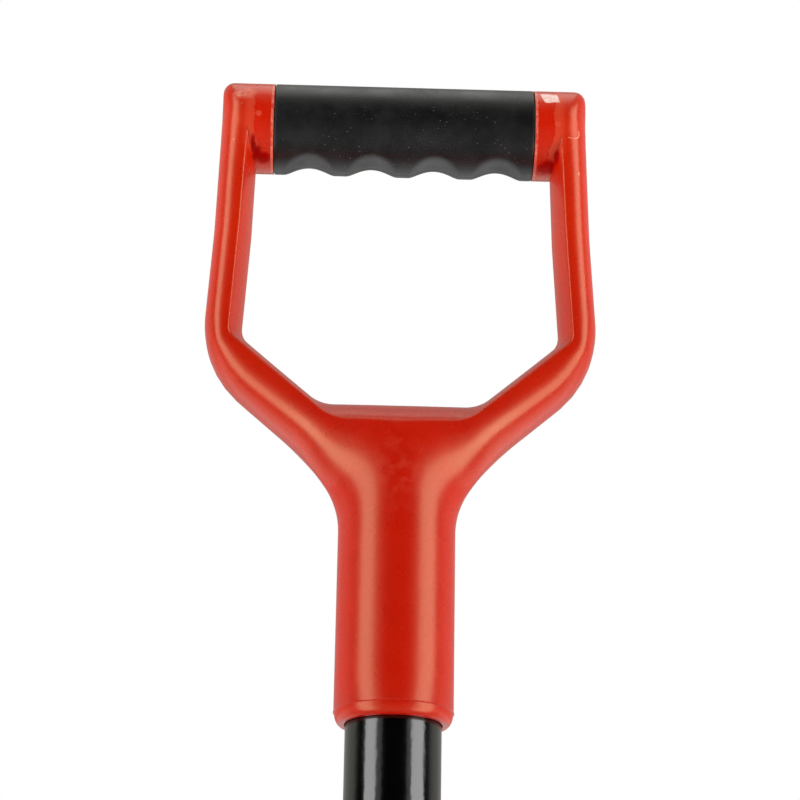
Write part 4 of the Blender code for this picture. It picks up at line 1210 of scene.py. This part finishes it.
def makeRedPlastic():
    look, marks = redPlasticLook, handleMarks
    material, tree, shader, place = newMaterial("redHandlePlastic")
    width = marks["edgeWidth"]
    uneven = ragged(tree, place, *marks["unevenEdges"])
    x, y, z = axes(tree, place)
    unevenX, _, unevenZ = axes(tree, uneven)
    jaggedX = axes(tree, ragged(tree, place, *marks["jaggedEdges"]))[0]
    out = maths(tree, "ABSOLUTE", x)

    # Painted light and shade: darker on the sleeve and low on the arms, lighter up the arms and
    # over the bar, then random darker clouds
    armColour = blendColours(
        tree, smooth(tree, z, *look["elbowHeights"]), look["elbowColour"], look["armColour"]
    )
    towardArms = smooth(tree, out, *look["armBlend"])
    colour = blendColours(tree, towardArms, look["sleeveColour"], armColour)
    onCap = times(
        tree, smooth(tree, z, *look["capHeights"]), smooth(tree, out, *look["capWidths"], 1, 0)
    )
    colour = blendColours(tree, onCap, colour, look["capColour"])
    colour = blendColours(tree, patches(tree, place, *look["clouds"]), colour, look["cloudColour"])

    # Hazy edge where the bar's end cap turns into the arm, and painted shade in the corners under
    # it
    below = maths(tree, "MAXIMUM", maths(tree, "SUBTRACT", marks["hazeLeanBelow"], z), 0.0)
    lean = times(tree, below, marks["hazeLean"])
    hazeOut = maths(tree, "ADD", maths(tree, "ABSOLUTE", jaggedX), lean)
    haze = times(
        tree, remap(tree, hazeOut, marks["hazeFrom"], marks["hazeFrom"] + width),
        smooth(tree, out, *marks["hazeTo"]), smooth(tree, z, *marks["hazeFoot"]),
    )
    colour = blendColours(tree, haze, colour, marks["hazeColour"])
    # Painted shade where the bar's ends meet the side walls
    shade = spots(tree, uneven, marks["shade"], marks["shadeSoftness"])
    colour = blendColours(tree, shade, colour, marks["shadeColour"])

    # Painted highlight: a pale line on the rim beside the grip, broken here and there
    rim = times(
        tree, remap(tree, out, *marks["rimFrom"]), remap(tree, out, *marks["rimTo"], 1, 0),
        patches(tree, place, *marks["rimBreaks"]), remap(tree, z, *marks["rimFoot"]),
    )
    colour = blendColours(tree, rim, colour, marks["rimHighlightColour"])

    # Painted highlight on the left cap's top, also rubbed and scratched there, a painted reflection
    # on the right cap's top, and stained places
    rubbedHighlight = spots(tree, uneven, marks["rubbedHighlight"], marks["rubbedHighlightSoftness"])
    patchy = times(tree, rubbedHighlight, patches(tree, place, *marks["rubbedHighlightPatches"]))
    colour = blendColours(tree, patchy, colour, marks["rubbedHighlightColour"])
    # Painted reflection: a skewed pale parallelogram on the right cap's top
    left, right, foot, head = marks["capReflection"]
    skew = times(tree, maths(tree, "SUBTRACT", unevenZ, head), marks["capReflectionSkew"])
    skewed = maths(tree, "ADD", unevenX, skew)
    capReflection = times(
        tree,
        remap(tree, skewed, left, left + width),
        remap(tree, skewed, right, right + width, 1, 0),
        remap(tree, unevenZ, foot, foot - width, 1, 0),
        remap(tree, unevenZ, head, head + width, 1, 0),
        remap(tree, y, *marks["capReflectionFront"], 1, 0),
        patches(tree, place, *marks["capReflectionPatches"]),
    )
    colour = blendColours(tree, capReflection, colour, marks["capReflectionColour"])
    stained = spots(tree, uneven, marks["stained"], marks["stainSoftness"])
    stained = times(tree, stained, patches(tree, place, *marks["stainPatches"]))
    colour = blendColours(tree, stained, colour, marks["stainColour"])

    # Ejector pin marks, nicks, fine scratches and a small hooked one
    pins = spots(tree, place, marks["pins"], marks["pinSoftness"])
    colour = blendColours(tree, times(tree, pins, marks["pinStrength"]), colour, marks["pinColour"])
    ringSoftness, partSoftness = marks["hookSoftness"]
    discs = [((marks["hookCentre"], (r, marks["hookDepth"], r)),) for r in marks["hookRadii"]]
    ring = maths(tree, "SUBTRACT", *[spots(tree, place, disc, ringSoftness) for disc in discs])
    hook = times(tree, ring, spots(tree, place, marks["hookPart"], partSoftness))
    scratches = times(tree, rubbedHighlight, patches(tree, place, *marks["fineScratches"]))
    nicks = spots(tree, uneven, marks["nicks"], marks["nickSoftness"])
    nicks = maths(tree, "MAXIMUM", hook, scratches, nicks)
    colour = blendColours(tree, nicks, colour, marks["nickColour"])
    tree.links.new(colour, shader.inputs["Base Color"])

    # The funnel's two shoulders are glossier, and the corners under the painted shade are dull.
    shoulder = spots(tree, place, look["shoulders"], look["shoulderSoftness"])
    gloss = remap(tree, shoulder, 0, 1, look["gloss"], look["shoulderGloss"])
    gloss = times(tree, gloss, remap(tree, shade, 0, 1, 1.0, look["cornerGloss"]))
    tree.links.new(gloss, shader.inputs["Specular IOR Level"])
    shader.inputs["Specular Tint"].default_value = (*look["glossTint"], 1)
    # The painted cap highlight and reflection and the haze are rougher
    rougherPatches = times(tree, maths(tree, "MAXIMUM", rubbedHighlight, capReflection, haze), look["patchRoughness"])
    sheen = maths(tree, "ADD", patches(tree, place, *look["roughness"]), rougherPatches)
    tree.links.new(sheen, shader.inputs["Roughness"])
    raised = times(tree, pins, look["pinRelief"])
    relief = maths(tree, "ADD", noise(tree, place, *look["waves"]), raised)
    bump(tree, shader, relief, *look["bump"])
    return material


gripRubberLook = {
    "colour": (0.0020, 0.0020, 0.0022), "fleckColour": (0.11, 0.11, 0.11),
    "flecks": 600, "fleckSize": (0.07, 0.12), "fleckClusters": ((70, 3), (0.46, 0.56, 0.0, 1.0)),
    "gloss": 0.6, "partingGloss": 0.2, "parting": 0.0022, "partingHalfWidth": 0.00016,
    "roughness": ((95, 4, 0.6), (0.35, 0.65, 0.34, 0.47)),
    "grain": (1300, 2), "bump": (0.08, 0.0001),
}


def makeGripRubber():
    look = gripRubberLook
    material, tree, shader, place = newMaterial("blackGripRubber")
    cells = addNode(tree, "TexVoronoi", {"Vector": place, "Scale": look["flecks"]})
    flecks = times(
        tree, remap(tree, cells.outputs["Distance"], *look["fleckSize"], 1, 0),
        patches(tree, place, *look["fleckClusters"]),
    )
    colour = blendColours(tree, flecks, look["colour"], look["fleckColour"])
    tree.links.new(colour, shader.inputs["Base Color"])

    # Parting line of the mould, along the underside
    y = axes(tree, place)[1]
    off = maths(tree, "ABSOLUTE", maths(tree, "SUBTRACT", y, look["parting"]))
    edge = look["partingHalfWidth"]
    gloss = remap(tree, off, edge, 3 * edge, look["partingGloss"], look["gloss"])
    tree.links.new(gloss, shader.inputs["Specular IOR Level"])
    tree.links.new(patches(tree, place, *look["roughness"]), shader.inputs["Roughness"])
    bump(tree, shader, noise(tree, place, *look["grain"]), *look["bump"])
    return material


shaftLook = {
    "colour": (0.0006, 0.0006, 0.0006), "gloss": 1.0,
    "roughness": ((60, 2), (0.3, 0.7, 0.13, 0.17)),
    "grain": (420, 1), "bump": (0.12, 0.0004),
}
bladeLook = {
    "colour": (0.012, 0.012, 0.013), "cloudColour": (0.02, 0.02, 0.021),
    "clouds": ((14, 4), (0.35, 0.7, 0.0, 1.0)),
    "roughness": ((45, 3), (0.3, 0.7, 0.34, 0.46)),
    "grain": (900, 2), "bump": (0.2, 0.0002),
}
weldLook = {
    "colour": (0.012, 0.012, 0.013),
    "roughness": ((300, 3), (0.3, 0.7, 0.4, 0.55)),
    "grain": (1200, 3), "bump": (0.35, 0.0003),
}
screwLook = {
    "colour": (0.55, 0.56, 0.58), "cloudColour": (0.40, 0.41, 0.43), "metallic": 1.0,
    "clouds": ((400, 3), (0.0, 1.0, 0.0, 1.0)),
    "roughness": ((400, 3), (0.3, 0.7, 0.24, 0.4)),
    "grain": (1500, 2), "bump": (0.15, 0.0001),
}


def makeFinish(name, look):
    material, tree, shader, place = newMaterial(name)
    shader.inputs["Metallic"].default_value = look.get("metallic", 0.0)
    shader.inputs["Specular IOR Level"].default_value = look.get("gloss", 0.5)
    shader.inputs["Base Color"].default_value = (*look["colour"], 1)
    if "clouds" in look:
        clouds = patches(tree, place, *look["clouds"])
        colour = blendColours(tree, clouds, look["colour"], look["cloudColour"])
        tree.links.new(colour, shader.inputs["Base Color"])
    tree.links.new(patches(tree, place, *look["roughness"]), shader.inputs["Roughness"])
    bump(tree, shader, noise(tree, place, *look["grain"]), *look["bump"])
    return material


redPlastic = makeRedPlastic()
gripRubber = makeGripRubber()
shaftCoating = makeFinish("blackShaftCoating", shaftLook)
bladeCoating = makeFinish("blackBladeCoating", bladeLook)
weldCoating = makeFinish("coatedWeld", weldLook)
zincSteel = makeFinish("zincSteel", screwLook)
print("stage: materials made")

dress(makeHandle(), redPlastic, "yoke", 30)
dress(makeGrip(), gripRubber, "grip_sleeve", 40)
dress(makeShaft(), shaftCoating, "shaft_tube")
dress(makeBlade(), bladeCoating, "blade")
for word in ("upper", "lower"):
    node = word + "_socket_rivet"
    dress(makeRivet(node, word + "Rivet"), bladeCoating, node)
dress(makeScrew(), zincSteel, "yoke_screw")
for word in ("left", "right"):
    node = word + "_tread"
    dress(makeTread(node, word + "Tread"), bladeCoating, node)
    for side, face in (("front", -1), ("rear", 1)):
        node = word + "_tread_" + side + "_weld"
        weld = makeTreadWeld(node, word + side.capitalize() + "Weld", face)
        dress(weld, weldCoating, node, 60)
dress(makeSeamWeld(), weldCoating, "socket_seam_weld", 60)
print("stage: pieces made")


# Camera

cameraPlan = {
    "sleeveFoot": 0.8098,      # height of the handle sleeve's lower rim
    "offset": (0.00035, -0.80877, -0.19617),
    "lens": 112.56, "sensor": 36,
    "pitch": 20.798, "roll": 0.9967, "yaw": 1.192,
    "nearest": 0.01,
}


def makeCamera():
    plan = cameraPlan
    pitch, roll = math.radians(plan["pitch"]), math.radians(plan["roll"])
    forward = Vector((0, math.cos(pitch), math.sin(pitch)))
    right = Vector((1, 0, 0))
    up = right.cross(forward)
    turnedRight = math.cos(roll) * right + math.sin(roll) * up
    turnedUp = -math.sin(roll) * right + math.cos(roll) * up
    pose = Matrix((turnedRight, turnedUp, -forward)).transposed().to_4x4()
    pose.translation = Vector(plan["offset"])
    yaw = Matrix.Rotation(-math.radians(plan["yaw"]), 4, "Z")
    camera = bpy.data.objects.new("camera", bpy.data.cameras.new("camera"))
    scene.collection.objects.link(camera)
    camera.data.sensor_width = plan["sensor"]
    camera.data.lens = plan["lens"]
    camera.data.clip_start = plan["nearest"]
    camera.matrix_world = Matrix.Translation((0, 0, plan["sleeveFoot"])) @ yaw @ pose
    scene.camera = camera


# Lamps. The two fills don't show in reflections.

lampPlans = {
    "leftBox": {"place": (-0.61, -0.38, 0.88), "aim": 0.88, "size": (0.386, 1.7), "watts": 7.4},
    "rightBox": {"place": (0.64, -0.33, 0.88), "aim": 0.88, "size": (0.44, 1.7), "watts": 8.6},
    "leftInner": {"place": (-0.45, -0.62, 0.88), "aim": 0.88, "size": (0.20, 1.7), "watts": 0.5},
    "rightInner": {"place": (0.50, -0.58, 0.88), "aim": 0.88, "size": (0.20, 1.7), "watts": 0.5},
    "leftFill": {"place": (-1.0, 0.15, 0.95), "aim": 0.9, "size": (0.8, 1.4), "watts": 5.9},
    "rightFill": {"place": (1.0, 0.15, 0.95), "aim": 0.9, "size": (0.8, 1.4), "watts": 6.9},
    "topBox": {"place": (0, 0.1, 2.3), "aim": 0.9, "size": (0.9, 0.9), "watts": 3},
}


def makeLamp(name, plan):
    lamp = bpy.data.objects.new(name, bpy.data.lights.new(name, "AREA"))
    scene.collection.objects.link(lamp)
    lamp.data.shape = "RECTANGLE"
    lamp.data.size, lamp.data.size_y = plan["size"]
    lamp.data.energy = plan["watts"]
    lamp.location = plan["place"]
    way = Vector((0, 0, plan["aim"])) - lamp.location
    lamp.rotation_euler = way.to_track_quat("-Z", "Y").to_euler()
    lamp.visible_camera = False
    lamp.visible_glossy = not name.endswith("Fill")


# Room light: white to the camera, soft from behind and above, and faint on what isn't glossy

roomPlan = {
    "ambient": 0.12, "brightness": 0.45, "colour": (1.0, 0.98, 0.90),
    "behind": (0.0, 0.35), "above": (0.62, 0.95),
}


def makeRoom():
    plan = roomPlan
    world = bpy.data.worlds.new("studio")
    scene.world = world
    world.use_nodes = True
    tree = world.node_tree
    background = tree.nodes["Background"]
    rays = addNode(tree, "LightPath", {}).outputs
    _, y, z = axes(tree, addNode(tree, "TexCoord", {}).outputs["Generated"])
    behind, above = smooth(tree, y, *plan["behind"]), smooth(tree, z, *plan["above"])
    around = times(tree, maths(tree, "MAXIMUM", behind, above), plan["brightness"])
    lit = maths(tree, "ADD", around, times(tree, rays["Is Diffuse Ray"], plan["ambient"]))
    colour = blendColours(tree, rays["Is Camera Ray"], plan["colour"], (1, 1, 1))
    tree.links.new(colour, background.inputs["Color"])
    strength = maths(tree, "MAXIMUM", lit, rays["Is Camera Ray"])
    tree.links.new(strength, background.inputs["Strength"])


# Floor: pale round the spade, and glowing white further off and in reflections

floorPlan = {
    "radius": 9, "around": 96, "drop": 0.0005,
    "colour": (0.86, 0.86, 0.86), "roughness": 0.9, "gloss": 0.2,
    "fade": (0.10, 0.60),                  # metres from the shaft's foot
    "glowReach": (0.0, 0.9), "glow": (0.16, 1.0),
}


def makeFloor():
    plan = floorPlan
    bpy.ops.mesh.primitive_circle_add(
        vertices=plan["around"], radius=plan["radius"], fill_type="NGON",
        location=(0, 0, -plan["drop"]),
    )
    floor = newest("studioFloor")
    material, tree, shader, place = newMaterial("paleFloor")
    shader.inputs["Base Color"].default_value = (*plan["colour"], 1)
    shader.inputs["Roughness"].default_value = plan["roughness"]
    shader.inputs["Specular IOR Level"].default_value = plan["gloss"]
    rays = addNode(tree, "LightPath", {}).outputs
    seen = maths(tree, "MAXIMUM", rays["Is Camera Ray"], rays["Is Transmission Ray"])
    distance = addNode(tree, "VectorMath", {0: place}, operation="LENGTH").outputs["Value"]
    far = times(tree, smooth(tree, distance, *plan["fade"]), seen)
    fade = maths(tree, "MAXIMUM", far, rays["Is Glossy Ray"])
    rear = smooth(tree, axes(tree, place)[1], *plan["glowReach"], *plan["glow"])
    glow = addNode(tree, "Emission", {"Strength": maths(tree, "MAXIMUM", seen, rear)})
    inputs = {0: fade, 1: shader.outputs["BSDF"], 2: glow.outputs["Emission"]}
    mixed = addNode(tree, "MixShader", inputs).outputs["Shader"]
    tree.links.new(mixed, tree.nodes["Material Output"].inputs["Surface"])
    floor.data.materials.append(material)


makeCamera()
for lampName, lampPlan in lampPlans.items():
    makeLamp(lampName, lampPlan)
makeRoom()
makeFloor()
scene.view_settings.view_transform = "Standard"
print("stage: camera, lamps and floor set")
